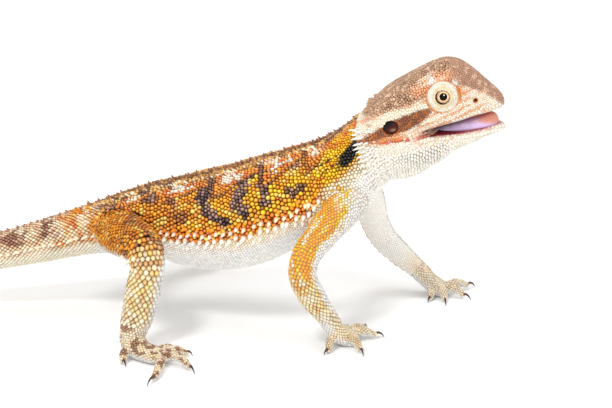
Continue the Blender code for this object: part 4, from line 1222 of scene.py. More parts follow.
def tube_seeds(k, under):
    """Places in staggered rows round one tube, as close as on its outer or its under side."""
    here = AXES["zone"] == k
    at = AXES["at"][here]
    length = np.concatenate([[0], np.cumsum(np.linalg.norm(np.diff(at, axis=0), axis=1))])
    share = AXES["share"][here]
    angles = np.linspace(0, math.tau, 145)
    outwards = 1.0 if ZONES[k].endswith("left") else -1.0
    away = [0, -outwards, -1.0] if under else [0, outwards, 0]
    seeds, s, row = [], 0.4, 0
    while s < length[-1]:
        now = {}
        for key in ("at", "side", "up", "width", "above", "below"):
            column = AXES[key][here]
            if column.ndim == 1:
                now[key] = np.interp(s, length, column)
            else:
                now[key] = np.array([np.interp(s, length, column[:, i]) for i in range(3)])
        spot = {
            "zone": np.array([k]), "share": np.array([np.interp(s, length, share)]),
            "x": now["at"][:1], "angle": np.array([140.0 if under else 50.0]), "head": np.zeros((1, 3)),
            "away": unit(np.array([away])),
        }
        kind, pitch = (value[0] for value in shape_kinds(spot))
        wide, tall = DIAMOND_PITCHES if KINDS[kind] in DIAMOND_KINDS else ROW_PITCHES
        across, height = section(angles, now["width"], now["above"], now["below"], OVAL)
        round_it = np.concatenate([[0], np.cumsum(np.hypot(np.diff(across), np.diff(height)))])
        stretch = math.sqrt(stretches(kind))
        count = max(8, 2 * round(round_it[-1] / (pitch * wide) * stretch / 2))
        places = (np.arange(count) + 0.5 * (row % 2)) / count * round_it[-1]
        turn = np.interp(places, round_it, angles)
        across, height = section(turn, now["width"], now["above"], now["below"], OVAL)
        seeds.append(now["at"] + np.outer(across, now["side"]) + np.outer(height, now["up"]))
        s += pitch * tall * stretch
        row += 1
    return np.concatenate(seeds)


def snap(tree, points, reach):
    """The nearest places on the skin, with normals, and whether they lie within reach."""
    places, normals, near = np.array(points), np.zeros((len(points), 3)), np.zeros(len(points), bool)
    for k, point in enumerate(points):
        hit, normal, _, gap = tree.find_nearest(Vector(point))
        if hit is not None and gap <= reach:
            places[k], normals[k], near[k] = hit, normal, True
    return places, normals, near


def ring_seeds(tree):
    """Rings of small beads round both eyes and both nostrils."""
    seeds, sizes = [], []
    rings = [(EYE_AT[0] + 0.2, EYE_AT[2] + 0.1, 5.0, *ring) for ring in LID_RINGS]
    rings += [(NOSTRIL_AT[0], NOSTRIL_AT[2], 3.0, *ring) for ring in NOSTRIL_RINGS]
    for side in (-1, 1):
        for x, z, least, radius, pitch in rings:
            count = round(math.tau * radius / pitch)
            for k in range(count):
                turn = math.tau * (k + 0.5 * (radius > 2.8)) / count
                at = x + radius * math.cos(turn), z + 0.96 * radius * math.sin(turn)
                start, aim = from_head([[at[0], 20 * side, at[1]], [at[0], 0, at[1]]])
                hit = tree.ray_cast(Vector(start), Vector(aim - start))[0]
                if hit is not None and abs(to_head(np.array(hit))[1]) > least:
                    seeds.append(hit)
                    sizes.append(pitch)
    return np.array(seeds), np.array(sizes)


def lip_seeds(tree):
    """Rows of plates along both lips, followed round the snout."""
    edges = {
        True: np.array([(x, z - below) for x, z, _, _, below, _ in SKULL]).T,
        False: np.array([(x, z + above) for x, z, _, above, _, _ in JAW]).T,
    }
    seeds = []
    for is_upper, lift in LIP_ROWS:
        last, walked = None, 0.0
        for step in range(LIP_STEPS):
            turn = math.radians(-LIP_TURN + 2 * LIP_TURN * step / (LIP_STEPS - 1))
            x = LIP_ORIGIN if last is None else to_head(np.array(last))[0]
            z = np.interp(x, *edges[is_upper]) + lift
            ray = [[LIP_ORIGIN, 0, z], [LIP_ORIGIN + math.cos(turn), math.sin(turn), z]]
            start, aim = from_head(ray)
            hit = tree.ray_cast(Vector(start), Vector(aim - start))[0]
            if hit is None:
                continue
            walked += (hit - last).length if last is not None else 0.0
            if last is None or walked > LIP_PITCH:
                seeds.append(hit)
                walked = 0.0
            last = hit
    return np.array(seeds), np.full(len(seeds), LIP_SPACING)


def beard_seeds(tree):
    """Columns of scales hanging down the throat and the jaw's sides."""
    pitch, step = BEARD_COLUMNS
    seeds = []
    for column, x in enumerate(np.arange(*BEARD_REACH, pitch)):
        for side in (-1, 1):
            last, walked = None, step * 0.5 * (column % 2)
            for degrees in np.arange(0, BEARD_TURN, BEARD_STEP):
                turn = math.radians(degrees)
                out = (-BEARD_SLANT * math.sin(turn), side * math.cos(turn), -math.sin(turn))
                start, aim = from_head([[x, 0, BEARD_TOP], [x + out[0], out[1], BEARD_TOP + out[2]]])
                hit = tree.ray_cast(Vector(start), Vector(aim - start))[0]
                if hit is None:
                    continue
                walked += (hit - last).length if last is not None else 0.0
                if walked > step:
                    seeds.append(hit)
                    walked -= step
                last = hit
    return np.array(seeds)


def scattered(skin, chance):
    """Random places on the skin, denser on the head, with their normals."""
    mesh = skin.data
    mesh.calc_loop_triangles()
    corners = np.empty(3 * len(mesh.loop_triangles), int)
    mesh.loop_triangles.foreach_get("vertices", corners)
    places, normals = mesh_arrays(mesh)
    corners = corners.reshape(-1, 3)
    a, b, c = places[corners].transpose(1, 0, 2)
    weight = np.linalg.norm(np.cross(b - a, c - a), axis=1)
    weight = weight * np.where(to_head(a)[:, 0] > -16, HEAD_DENSITY, 1.0)
    chosen = chance.choice(len(corners), LOOSE_TRIES, p=weight / weight.sum())
    u, v = chance.uniform(0, 1, (2, LOOSE_TRIES, 1))
    u, v = np.where(u + v > 1, 1 - u, u), np.where(u + v > 1, 1 - v, v)
    at = a[chosen] * (1 - u - v) + b[chosen] * u + c[chosen] * v
    return at, unit(normals[corners[chosen]].sum(axis=1))


def bare(normals, spot):
    """Where no scale grows: inside the mouth, eye sockets, ears and nostrils."""
    head = spot["head"]
    local = normals @ HEAD[:3, :3]
    x, y, z = head[:, 0], np.abs(head[:, 1]), head[:, 2]
    mouth = inside_mouth(x, y, z, local) > 0.4
    mirrored = np.column_stack([x, y, z])
    facing = local * np.column_stack([np.ones(len(y)), np.sign(head[:, 1]), np.ones(len(y))])
    eye = mirrored - np.array(EYE_AT)
    socket = (np.linalg.norm(eye, axis=1) < 4.2) & ((eye * facing).sum(axis=1) < 0.2)
    hole = (np.hypot(eye[:, 0] - 0.2, eye[:, 2] - 0.1) < OPENING_RADII[0] + 0.12) & (y > 5)
    ear = (((mirrored - np.array(EAR_AT)) / (np.array(EAR_RADII) + 0.05)) ** 2).sum(axis=1) < 1.12
    nostril = np.linalg.norm(mirrored - np.array(NOSTRIL_AT), axis=1) < NOSTRIL_RADIUS + 0.15
    return (spot["zone"] == -1) & (mouth | socket | hole | ear | nostril)


def point_tree(points):
    """A tree that finds the nearest of the points."""
    tree = KDTree(len(points))
    for k, point in enumerate(points):
        tree.insert(point, k)
    tree.balance()
    return tree


def thin_out(points, normals, reach):
    """Keeps each point unless an earlier one on the same side lies within its reach."""
    tree = point_tree(points)
    kept = np.ones(len(points), bool)
    for k in range(len(points)):
        if kept[k]:
            for _, other, _ in tree.find_range(points[k], reach[k]):
                if other > k and normals[other] @ normals[k] > 0.1:
                    kept[other] = False
    return kept


def neighbours(points, normals, count):
    """For every point the numbers of the nearest others that face the same way, and the gaps to them."""
    tree = point_tree(points)
    found = np.zeros((len(points), count), int)
    for k, point in enumerate(points):
        found[k] = [other for _, other, _ in tree.find_n(point, count + 1)][1:count + 1]
    gaps = points[found] - points[:, None, :]
    facing = (normals[found] * normals[:, None, :]).sum(axis=2) > 0.0
    return found, gaps, facing


def plant(skin):
    """Every scale's place: lattice rows first, then whatever gaps they leave."""
    chance = np.random.default_rng(SEED)
    work = bmesh.new()
    work.from_mesh(skin.data)
    bmesh.ops.scale(work, vec=(1 / MM,) * 3, verts=work.verts)
    tree = BVHTree.FromBMesh(work)
    work.free()

    groups = []
    for label, found in (("lid", ring_seeds(tree)), ("lip", lip_seeds(tree))):
        places, normals, near = snap(tree, found[0], 1.0)
        groups.append((places[near], normals[near], found[1][near], KINDS.index(label)))
    places, normals, near = snap(tree, beard_seeds(tree), 1.0)
    near &= locate(places)["zone"] == -1
    groups.append((places[near], normals[near], None, -1))
    for k in range(len(ZONES)):
        for under in ((False, True) if k == 0 or ZONES[k] in LIMBS else (False,)):
            places, normals, near = snap(tree, tube_seeds(k, under), 1.5)
            spot = locate(places)
            is_under = is_kind(shape_kinds(spot)[0], "belly", "inner")
            near &= (spot["zone"] == k) & (is_under == under)
            groups.append((places[near], normals[near], None, -1))
    groups.append((*scattered(skin, chance), None, -1))

    points = np.concatenate([g[0] for g in groups])
    normals = unit(np.concatenate([g[1] for g in groups]))
    spot = locate(points)
    kind, spacing = shape_kinds(spot)
    start = 0
    for places, _, sizes, label in groups:
        if sizes is not None:
            kind[start:start + len(places)] = label
            spacing[start:start + len(places)] = sizes
        start += len(places)
    keep = ~bare(normals, spot)
    points, normals, kind, spacing = points[keep], normals[keep], kind[keep], spacing[keep]
    kept = thin_out(points, normals, THINNING * spacing)
    points, normals, kind, spacing = points[kept], normals[kept], kind[kept], spacing[kept]
    loose = ~is_kind(kind, "lid", "lip")
    shake = chance.uniform(-0.8, 0.8, (len(points), 3)) * (unevenness(kind) * spacing * loose)[:, None]
    points = points + shake
    spacing = spacing * (1 + chance.uniform(-1, 1, len(points)) * unevenness(kind))
    for _ in range(RELAX_ROUNDS):
        points, normals = relax(tree, points, normals, kind, spacing)
    return tree, points, normals, kind, spacing


def relax(tree, points, normals, kind, spacing):
    """Moves loose scales apart along the skin, further along the lie of long scales than across it."""
    back = lie(locate(points), normals)
    found, gaps, facing = neighbours(points, normals, RELAX_NEIGHBOURS)
    squeeze = np.sqrt(stretches(kind))[:, None]
    along = (gaps * back[:, None, :]).sum(axis=2)
    across = np.maximum((gaps ** 2).sum(axis=2) - along ** 2, 0)
    length = np.sqrt(across * squeeze ** 2 + (along / squeeze) ** 2) + 1e-6
    wanted = 0.5 * (spacing[:, None] + spacing[found])
    push = np.clip(1.0 - length / wanted, 0, 1) * facing
    moved = points - RELAX_PUSH * (gaps / length[:, :, None] * (push * wanted)[:, :, None]).sum(axis=1)
    fixed = is_kind(kind, "lid", "lip")
    moved[fixed] = points[fixed]
    places, fresh, near = snap(tree, moved, 1.0)
    places[~near], fresh[~near] = points[~near], normals[~near]
    return places, unit(fresh)


def cell_reaches(points, normals, back, spacing):
    """How far each scale reaches in every direction before it meets its neighbours."""
    found, gaps, facing = neighbours(points, normals, CELL_NEIGHBOURS)
    across = np.cross(normals, back)
    along_gap = (gaps * back[:, None, :]).sum(axis=2)
    across_gap = (gaps * across[:, None, :]).sum(axis=2)
    square = along_gap ** 2 + across_gap ** 2
    weight = 0.3 * (spacing[:, None] ** 2 - spacing[found] ** 2)
    reaches = np.empty((len(points), SCALE_SIDES))
    for k in range(SCALE_SIDES):
        turn = math.tau * k / SCALE_SIDES
        toward = along_gap * math.cos(turn) + across_gap * math.sin(turn)
        cut = np.where((toward > 1e-3) & facing, (square + weight) / 2 / np.maximum(toward, 1e-3), 9.0)
        reaches[:, k] = cut.min(axis=1)
    return np.clip(reaches, CELL_LEAST, CELL_MOST * spacing[:, None])


def unwrap(spot):
    """Each point's place on a flat layout of the body's own tubes."""
    turn = spot["angle"] * spot["side"] / 360.0 + 0.5
    left = np.zeros(len(ZONES) + 1)
    low, wide, tall = left.copy(), left.copy(), left.copy()
    left[0], low[0], wide[0], tall[0] = 0.02, 0.46, 0.3, 0.3
    counts = {"trunk": 0, "limb": 0, "palm": 0, "digit": 0}
    for k, name in enumerate(ZONES, start=1):
        group = "trunk" if name == "trunk" else "limb" if name in LIMBS else "palm"
        group = "digit" if name.endswith("digit") else group
        n = counts[group]
        counts[group] += 1
        left[k], low[k], wide[k], tall[k] = {
            "trunk": (0.02, 0.02, 0.96, 0.42),
            "limb": (0.34 + 0.16 * n, 0.46, 0.15, 0.14),
            "palm": (0.34 + 0.16 * n, 0.62, 0.15, 0.13),
            "digit": (0.02 + 0.095 * (n % 10), 0.78 + 0.1 * (n // 10), 0.085, 0.09),
        }[group]
    zone = spot["zone"] + 1
    head = spot["head"]
    share = np.where(zone == 0, (head[:, 0] + 16) / 46, spot["share"])
    turn = np.where(zone == 0, np.arctan2(head[:, 1], head[:, 2]) / math.tau + 0.5, turn)
    return np.column_stack([
        left[zone] + wide[zone] * np.clip(share, 0, 1),
        low[zone] + tall[zone] * np.clip(turn, 0, 1),
    ])


def many(name, faces, corners, colours, spots):
    """One mesh of many like shapes: corners and colours are arrays by shape, corner and value."""
    count, size = corners.shape[:2]
    mesh = bpy.data.meshes.new(name)
    mesh.vertices.add(count * size)
    places = corners.reshape(-1, 3) * MM
    places[:, 2] = np.maximum(places[:, 2], 0.0)
    mesh.vertices.foreach_set("co", (places + np.array(CENTRE_SHIFT)).ravel())
    loops = np.concatenate(faces)
    starts = np.concatenate([[0], np.cumsum([len(face) for face in faces])[:-1]])
    mesh.loops.add(count * len(loops))
    mesh.polygons.add(count * len(faces))
    first = np.arange(count)[:, None]
    mesh.loops.foreach_set("vertex_index", (first * size + loops).ravel())
    mesh.polygons.foreach_set("loop_start", (first * len(loops) + starts).ravel())
    mesh.update(calc_edges=True)
    mesh.validate()
    mesh.shade_smooth()
    write_colours(mesh, colours.reshape(-1, 3))
    layer = mesh.uv_layers.new(name="OFBake")
    patch = corner_patch(size)
    flat = (spots[:, None, :] + patch)[np.arange(count)[:, None], loops]
    layer.data.foreach_set("uv", flat.ravel())
    made = bpy.data.objects.new(name, mesh)
    bpy.context.scene.collection.objects.link(made)
    return made


def corner_patch(size):
    """Small offsets that spread a shape's corners over a patch about 0.003 across."""
    turn = np.arange(size) * 2.4
    reach = 0.0015 * np.sqrt((np.arange(size) + 0.5) / size)
    return np.column_stack([np.cos(turn) * reach, np.sin(turn) * reach])


def throat_columns(kind, spot):
    """How much painted shade lies in the furrows between the throat's columns of scales."""
    x, _, z = spot["head"].T
    here = ramp(-7, 0, x) * ramp(11.5, 9, x) * ramp(-3.4, -4.8, z) * ramp(-11.0, -9.0, z)
    return here * is_kind(kind, "beard")


def softness(colours, kind, spot):
    """How little a scale stands out by its dark gap and its painted shade and highlight: by kind, more where
    the head is pale, less in the throat's columns.
    """
    light = colours @ LIGHTNESS
    soft = SOFTNESS[kind]
    soft = soft + 0.8 * (0.92 - soft) * (is_kind(kind, *PALE_KINDS) * ramp(0.36, 0.6, light))
    soft = soft + 0.8 * is_kind(kind, "tail") * ramp(0.6, 0.85, light)
    return soft - 0.5 * throat_columns(kind, spot)


def gap_colour(colours, kind, spot):
    """The skin between scales: dark brown where they are coloured, softer where they are pale."""
    light = colours @ LIGHTNESS
    shade = 0.05 + 0.2 * ramp(0.22, 0.6, light) + 0.45 * ramp(0.6, 0.9, light)
    shade = shade + (0.8 - shade) * softness(colours, kind, spot)
    # Painted shade in the furrows between the throat's columns.
    shade = shade * (1 - 0.62 * throat_columns(kind, spot))
    shade = shade + 0.22 * ramp(-4, 8, spot["x"]) * is_kind(kind, "flank")
    tint = np.array([1.0, 0.84, 0.72]) + np.array([0.0, 0.12, 0.2]) * ramp(0.55, 0.85, light)[:, None]
    gap = colours * shade[:, None] * tint
    arm = np.char.startswith(zone_names(spot), "arm")
    return mix(gap, "pale_cream", 0.5 * arm * ramp(0.66, 0.5, spot["share"]))


def cone_faces(sides, rings):
    """Faces of rings under one point: the base, the walls between rings, and the fan at the top."""
    faces = [list(range(sides))[::-1]]
    top = (rings - 1) * sides
    for k in range(sides):
        n = (k + 1) % sides
        faces += [[low + k, low + n, low + n + sides, low + k + sides] for low in range(0, top, sides)]
        faces.append([top + k, top + n, top + sides])
    return faces


def scale_corners(points, normals, back, reaches, spacing, height, values):
    """Corners of every scale: a sunken rim, a shoulder and an apex."""
    _, tilt, reach_back, ridge, flat = values
    turn = np.arange(SCALE_SIDES) * math.tau / SCALE_SIDES
    rear, beside = np.cos(turn), np.sin(turn)
    across = np.cross(normals, back)
    rays = rear[None, :, None] * back[:, None, :] + beside[None, :, None] * across[:, None, :]
    lifted = normals[:, None, :]
    rim = points[:, None, :] + rays * (reaches * 0.99)[:, :, None] - lifted * SCALE_SUNK
    stretch = 0.82 + 0.12 * flat[:, None] + reach_back[:, None] * np.maximum(rear, 0) ** 3
    rise = height[:, None] * (0.5 + 0.35 * flat[:, None])
    rise = rise + tilt[:, None] * reaches * rear + ridge[:, None] * height[:, None] * np.abs(rear) ** 3
    shoulder = points[:, None, :] + rays * (reaches * stretch)[:, :, None] + lifted * rise[:, :, None]
    shift = (0.12 + 0.3 * reach_back) * spacing * 0.5
    apex = points + back * shift[:, None] + normals * (height * (1 + 0.5 * ridge) + tilt * shift)[:, None]
    return np.concatenate([rim, shoulder, apex[:, None, :]], axis=1)


def scale_paint(colours, gap, flat, soft):
    """Colours of the same corners: the gap's dark skin colour on the rim, painted shade on the shoulder and
    a painted highlight on the apex.
    """
    rear = np.cos(np.arange(SCALE_SIDES) * math.tau / SCALE_SIDES)
    # The shoulder is painted shade, a little lighter towards the rear; the apex is a painted highlight,
    # weaker where the top is flat or the kind is soft.
    shoulder_shade = (0.8 - 0.06 * flat[:, None] + 0.08 * rear) * (1 - soft) + 0.9 * soft
    apex_highlight = (1.75 - 1.0 * flat) * (1 - soft[:, 0]) + 1.05 * soft[:, 0]
    gap, body = gap[:, None, :], colours[:, None, :]
    return np.concatenate([
        np.repeat(gap, SCALE_SIDES, axis=1),
        body * shoulder_shade[:, :, None] + gap * 0.1,
        np.clip(body * apex_highlight[:, None, None] + 0.015, 0, 0.95),
    ], axis=1)


def make_scales(skin):
    """Every scale as a small plate, coloured by the markings with painted shade and a painted highlight, in
    pieces by family.
    """
    tree, points, normals, kind, spacing = plant(skin)
    colours, spot = markings(points, normals)
    back = lie(spot, normals)
    reaches = cell_reaches(points, normals, back, spacing)
    chance = np.random.default_rng(SEED + 1)
    values = SCALE_VALUES[kind].T
    fullness = np.clip(reaches.mean(axis=1) / (0.5 * spacing), 0.35, 1.15)
    height = values[0] * fullness * chance.uniform(0.85, 1.15, len(points))
    soft = softness(colours, kind, spot)[:, None]
    calm = 1 - 0.75 * soft
    colours = colours * (1 + chance.uniform(-0.18, 0.18, (len(points), 1)) * calm)
    colours = colours * (1 + chance.uniform(-0.06, 0.06, (len(points), 3)) * calm)
    corners = scale_corners(points, normals, back, reaches, spacing, height, values)
    painted = scale_paint(colours, gap_colour(colours, kind, spot), values[-1], soft)
    places = unwrap(spot)

    pieces = []
    faces = cone_faces(SCALE_SIDES, 2)
    for family, (_, _, members) in FAMILIES.items():
        chosen = np.flatnonzero(is_kind(kind, *members))
        parts = max(1, math.ceil(len(chosen) / PIECE_SCALES))
        for k, part in enumerate(np.array_split(chosen, parts)):
            name = f"scales_{family}_{k + 1}"
            pieces.append(many(name, faces, corners[part], painted[part], places[part]))
    return tree, pieces


def trunk_frame(x):
    """A place in the trunk's middle, the way along it and the way up."""
    here = AXES["zone"] == 0
    path = AXES["at"][here]
    k = int(np.argmin(np.abs(path[:, 0] - x)))
    along = Vector(AXES["along"][here][k])
    up = (Vector(UPWARDS) - along * along.z).normalized()
    return Vector(path[k]), along, up


def spine_roots(tree):
    """Root, lean, height, radius and point colour of every spine."""
    chance = random.Random(SEED)
    found = []

    def cast(start, outward, back, row):
        hit, normal, _, _ = tree.ray_cast(start, outward)
        if hit is not None:
            found.append((hit, normal, back, *row))

    def cast_from_trunk(x, degrees, side, lean, droop, row):
        centre, along, up = trunk_frame(x)
        angle = math.radians(degrees)
        outward = up.cross(along) * side * math.cos(angle) + up * math.sin(angle)
        cast(centre, outward, -along * lean - up * droop, row)

    for first, last, pitch, lift, height, radius, lean, droop, paint in TRUNK_SPINES:
        for k in range(int((last - first) / pitch) + 1):
            for side in (-1, 1):
                x = first + (k + chance.uniform(-0.2, 0.2)) * pitch
                degrees = lift + chance.uniform(-1.8, 1.8)
                size = height * chance.uniform(0.8, 1.2)
                cast_from_trunk(x, degrees, side, lean, droop, (size, radius, paint))
    for rear, front in zip(WEDGES[1:], WEDGES[2:]):
        for _ in range(SADDLE_SPINES):
            for side in (-1, 1):
                x = rear + chance.uniform(*SADDLE_SHARES) * (front - rear) + 2.5
                degrees = 90 - chance.uniform(*SADDLE_ANGLES)
                size = chance.uniform(*SADDLE_HEIGHTS)
                cast_from_trunk(x, degrees, side, SADDLE_LEAN, 0.0, (size, SADDLE_RADIUS, "cream"))
    back = Vector(-HEAD[:3, 0]) * 0.8
    for x, first, last, count, height, radius, paint in HEAD_SPINES:
        start = Vector(from_head([[x, 0, -0.5]])[0])
        for k in range(count):
            for side in (-1, 1):
                share = (k + chance.uniform(-0.2, 0.2)) / (count - 1)
                angle = math.radians(first + (last - first) * share)
                outward = Vector(HEAD[:3, :3] @ np.array([0, side * math.cos(angle), math.sin(angle)]))
                size = height * chance.uniform(0.8, 1.15)
                cast(start, outward, back, (size, radius, paint))
    return found


def make_spines(tree):
    """Bent spines, coloured like the skin at the root and in their own colour at the point."""
    found = spine_roots(tree)
    roots = np.array([row[0] for row in found])
    normals = unit(np.array([row[1] for row in found]))
    backs = np.array([row[2] for row in found])
    heights = np.array([row[3] for row in found])
    radii = np.array([row[4] for row in found])
    tips = np.array([linear(row[5]) for row in found])
    colours, spot = markings(roots, normals)
    along = unit(normals + backs)
    side = unit(np.cross(along, np.array([0.31, 0.2, 0.93])))
    across = np.cross(along, side)
    rings, shades = [], []
    for share, width in SPINE_RINGS:
        centre = roots + along * (heights * share)[:, None]
        centre = centre + backs * (SPINE_BEND * heights * max(share, 0) ** 2)[:, None]
        for k in range(SPINE_SIDES):
            turn = math.tau * k / SPINE_SIDES
            out = side * math.cos(turn) + across * math.sin(turn)
            rings.append(centre + out * (radii * width)[:, None])
            blend = max(0.0, min(1.0, 0.3 + share * 1.6))
            shades.append(colours * (1 - blend) * 0.8 + tips * blend)
    rings.append(roots + along * heights[:, None] + backs * (SPINE_BEND * heights)[:, None])
    shades.append(tips)
    faces = cone_faces(SPINE_SIDES, len(SPINE_RINGS))
    corners = np.stack(rings, axis=1)
    painted = np.clip(np.stack(shades, axis=1), 0, 1)
    return many("spines", faces, corners, painted, unwrap(spot))


def settle(obj, name):
    """Names a piece and gives it its final place."""
    obj.name = name
    obj.data.name = name
    obj.data.transform(Matrix.Translation(CENTRE_SHIFT))
    obj.data.shade_smooth()
    return obj


def join(name, objects):
    bpy.ops.object.select_all(action="DESELECT")
    for obj in objects:
        obj.select_set(True)
    bpy.context.view_layer.objects.active = objects[0]
    bpy.ops.object.join()
    bpy.ops.object.select_all(action="DESELECT")
    return settle(objects[0], name)


def make_claws():
    """Arched claws, brown at the toe and dark towards the tip."""
    dark = np.repeat(ramp(0.2, 0.6, np.linspace(0, 1, CLAW_STEPS)), CLAW_SIDES)[:, None]
    colours = linear("tail_brown")[None, :] * (1 - dark) + linear("claw")[None, :] * dark
    claws = []
    for digits in DIGITS.values():
        for _, knuckle, end, tip in digits:
            knuckle, end, tip = Vector(knuckle), Vector(end), Vector(tip)
            arch = [end.lerp(tip, share) + Vector((0, 0, CLAW_LIFT * lift)) for share, lift in CLAW_ARCH]
            path = (end.lerp(knuckle, 0.3), end, *arch, tip)
            rows = [(*at, r * 0.85, r) for at, r in zip(path, CLAW_RADII)]
            claw = tube("claw", rows, CLAW_STEPS, CLAW_SIDES, UPWARDS, bpy.context.scene.collection)
            write_colours(claw.data, colours)
            claws.append(claw)
    return join("claws", claws)


def eye_rings():
    """Angles from the middle of the pupil, dense over the iris."""
    return np.concatenate([np.linspace(0, 48, 42)[1:], np.linspace(48, 180, 16)[1:-1]])


def eye_colour(degrees, streak):
    """Black in the pupil, then a streaked iris with dark rings that fades to black."""
    if degrees < PUPIL_EDGE:
        return linear("black") * 0.02
    if degrees > IRIS_EDGE:
        return linear("black") * 0.6
    shade = linear("iris") * (0.75 + 0.4 * streak)
    shade = shade * (1 - 0.85 * math.exp(-((degrees - DARK_RING) / 2.0) ** 2))
    shade = shade * (1 - 0.6 * math.exp(-((degrees - PUPIL_RIM) / 1.2) ** 2))
    if degrees > IRIS_FADE:
        shade = shade * (IRIS_EDGE - degrees) / (IRIS_EDGE - IRIS_FADE)
    return shade


def eyeball(side):
    """A ball of rings whose pole is the middle of the pupil."""
    centre = Vector(on_side(EYE_AT, side)) * MM
    gaze = Vector((0.1, side, 0.02)).normalized()
    right = gaze.orthogonal().normalized()
    above = gaze.cross(right)
    work = bmesh.new()

    def point(ring, turn):
        out = right * math.cos(turn) + above * math.sin(turn)
        return work.verts.new(centre + (gaze * math.cos(ring) + out * math.sin(ring)) * EYE_RADIUS * MM)

    front = point(0, 0)
    loops = []
    for ring in np.radians(eye_rings()):
        loops.append([point(ring, math.tau * k / EYE_SIDES) for k in range(EYE_SIDES)])
    rear = point(math.pi, 0)
    for k in range(EYE_SIDES):
        n = (k + 1) % EYE_SIDES
        work.faces.new((front, loops[0][k], loops[0][n]))
        work.faces.new((rear, loops[-1][n], loops[-1][k]))
        for a, b in zip(loops, loops[1:]):
            work.faces.new((a[k], b[k], b[n], a[n]))
    work.transform(head_matrix())
    return mesh_object("eye", work, bpy.context.scene.collection)


def make_eyes():
    """Both eyes, each with its own streaks in a coppery iris."""
    chance = np.random.default_rng(SEED + 2)
    made = []
    for side in (-1, 1):
        eye = eyeball(side)
        streaks = chance.uniform(0, 1, EYE_SIDES)
        colours = [linear("black") * 0.3]
        for degrees in eye_rings():
            colours += [eye_colour(degrees, streak) for streak in streaks]
        colours.append(linear("black"))
        write_colours(eye.data, np.clip(np.array(colours), 0, 1))
        made.append(eye)
    return join("eyes", made)


def primitive_ball(name, at, radii):
    """A sphere added, stretched and set in the head's frame, with its place in its mesh."""
    bpy.ops.mesh.primitive_uv_sphere_add(segments=48, ring_count=24, radius=MM)
    obj = bpy.context.object
    place = head_matrix() @ Matrix.Translation(Vector(at) * MM) @ Matrix.Diagonal((*radii, 1.0))
    obj.data.transform(place)
    obj.name = name
    obj.select_set(False)
    return obj


def make_tongue():
    """A broad soft tongue, grooved along its middle, that rises in front to the pink of the palate, with
    painted highlights on its top.
    """
    tongue = primitive_ball("soft_tongue", TONGUE_AT, TONGUE_RADII)
    places, _ = mesh_arrays(tongue.data)
    local = to_head(places)
    ahead, rise = local[:, 0], local[:, 2] - TONGUE_AT[2]
    # Pale patches on the tongue's top are painted highlights.
    pale = ramp(0.45, 0.75, cloud(local, 1.1, 51)) * ramp(0.0, 0.6, rise)
    shade = mix(plain_paint(len(local), "tongue"), "tongue_highlight", 0.5 * pale)
    front = ramp(19.0, 21.5, ahead) * ramp(0.1, 0.5, rise + 0.13 * (ahead - 20))
    shade = mix(shade, "palate", front)
    groove = 0.28 * np.exp(-(local[:, 1] / 1.1) ** 2) * (rise > 0)
    sag = 0.115 * np.maximum(ahead - 10, 0) * ramp(0.7, -0.5, rise)
    local[:, 2] += 0.45 * rise * ramp(18, 25, ahead) - sag - groove * ramp(22, 14, ahead)
    tongue.data.vertices.foreach_set("co", (from_head(local) * MM).ravel())
    write_colours(tongue.data, shade)
    return settle(tongue, "soft_tongue")


def make_eardrums():
    """Dark drums, with painted shade towards their upper rear rim and a painted highlight low in front."""
    x, y, z = EAR_AT
    drums = [primitive_ball("drum", on_side((x, y - 0.75, z), side), EARDRUM_RADII) for side in (-1, 1)]
    for drum in drums:
        local = to_head(mesh_arrays(drum.data)[0])
        rise, ahead = local[:, 2] - z, local[:, 0] - x
        # Painted shade darkens each drum towards its upper rear rim.
        shade = mix(plain_paint(len(local), "eardrum"), "black", ramp(-0.4, 1.5, rise - 0.5 * ahead))
        # A painted highlight in the crown's colour lies low in front.
        light = np.exp(-(((ahead - 0.5) / 0.7) ** 2 + ((rise + 0.8) / 0.4) ** 2))
        write_colours(drum.data, mix(shade, "crown", 0.6 * light))
    return join("eardrums", drums)


def detail_group():
    """Fine grain that every skin and horn finish shares: shade, roughness and height."""
    group = bpy.data.node_groups.new("Fine grain", "ShaderNodeTree")
    for name, kind in (("Colour", "NodeSocketColor"), ("Grain size", "NodeSocketFloat"),
                       ("Shade change", "NodeSocketFloat"), ("Roughness", "NodeSocketFloat")):
        group.interface.new_socket(name, in_out="INPUT", socket_type=kind)
    for name, kind in (("Colour", "NodeSocketColor"), ("Roughness", "NodeSocketFloat"),
                       ("Height", "NodeSocketFloat")):
        group.interface.new_socket(name, in_out="OUTPUT", socket_type=kind)
    nodes, links = group.nodes, group.links
    start = nodes.new("NodeGroupInput")
    end = nodes.new("NodeGroupOutput")
    place = nodes.new("ShaderNodeTexCoord")
    noise = nodes.new("ShaderNodeTexNoise")
    noise.inputs["Detail"].default_value = 4.0
    noise.inputs["Roughness"].default_value = 0.6
    links.new(place.outputs["Object"], noise.inputs["Vector"])
    links.new(start.outputs["Grain size"], noise.inputs["Scale"])
    level = nodes.new("ShaderNodeMapRange")
    level.inputs["From Min"].default_value = 0.3
    level.inputs["From Max"].default_value = 0.7
    level.inputs["To Min"].default_value = 1.0
    links.new(noise.outputs["Fac"], level.inputs["Value"])
    low = nodes.new("ShaderNodeMath")
    low.operation = "SUBTRACT"
    low.inputs[0].default_value = 1.0
    links.new(start.outputs["Shade change"], low.inputs[1])
    links.new(low.outputs["Value"], level.inputs["To Max"])
    tint = nodes.new("ShaderNodeMix")
    tint.data_type = "RGBA"
    tint.blend_type = "MULTIPLY"
    tint.inputs["Factor"].default_value = 1.0
    links.new(start.outputs["Colour"], tint.inputs["A"])
    links.new(level.outputs["Result"], tint.inputs["B"])
    links.new(tint.outputs["Result"], end.inputs["Colour"])
    rough = nodes.new("ShaderNodeMath")
    rough.operation = "MULTIPLY_ADD"
    rough.inputs[1].default_value = 0.18
    links.new(noise.outputs["Fac"], rough.inputs[0])
    links.new(start.outputs["Roughness"], rough.inputs[2])
    links.new(rough.outputs["Value"], end.inputs["Roughness"])
    links.new(noise.outputs["Fac"], end.inputs["Height"])
    return group


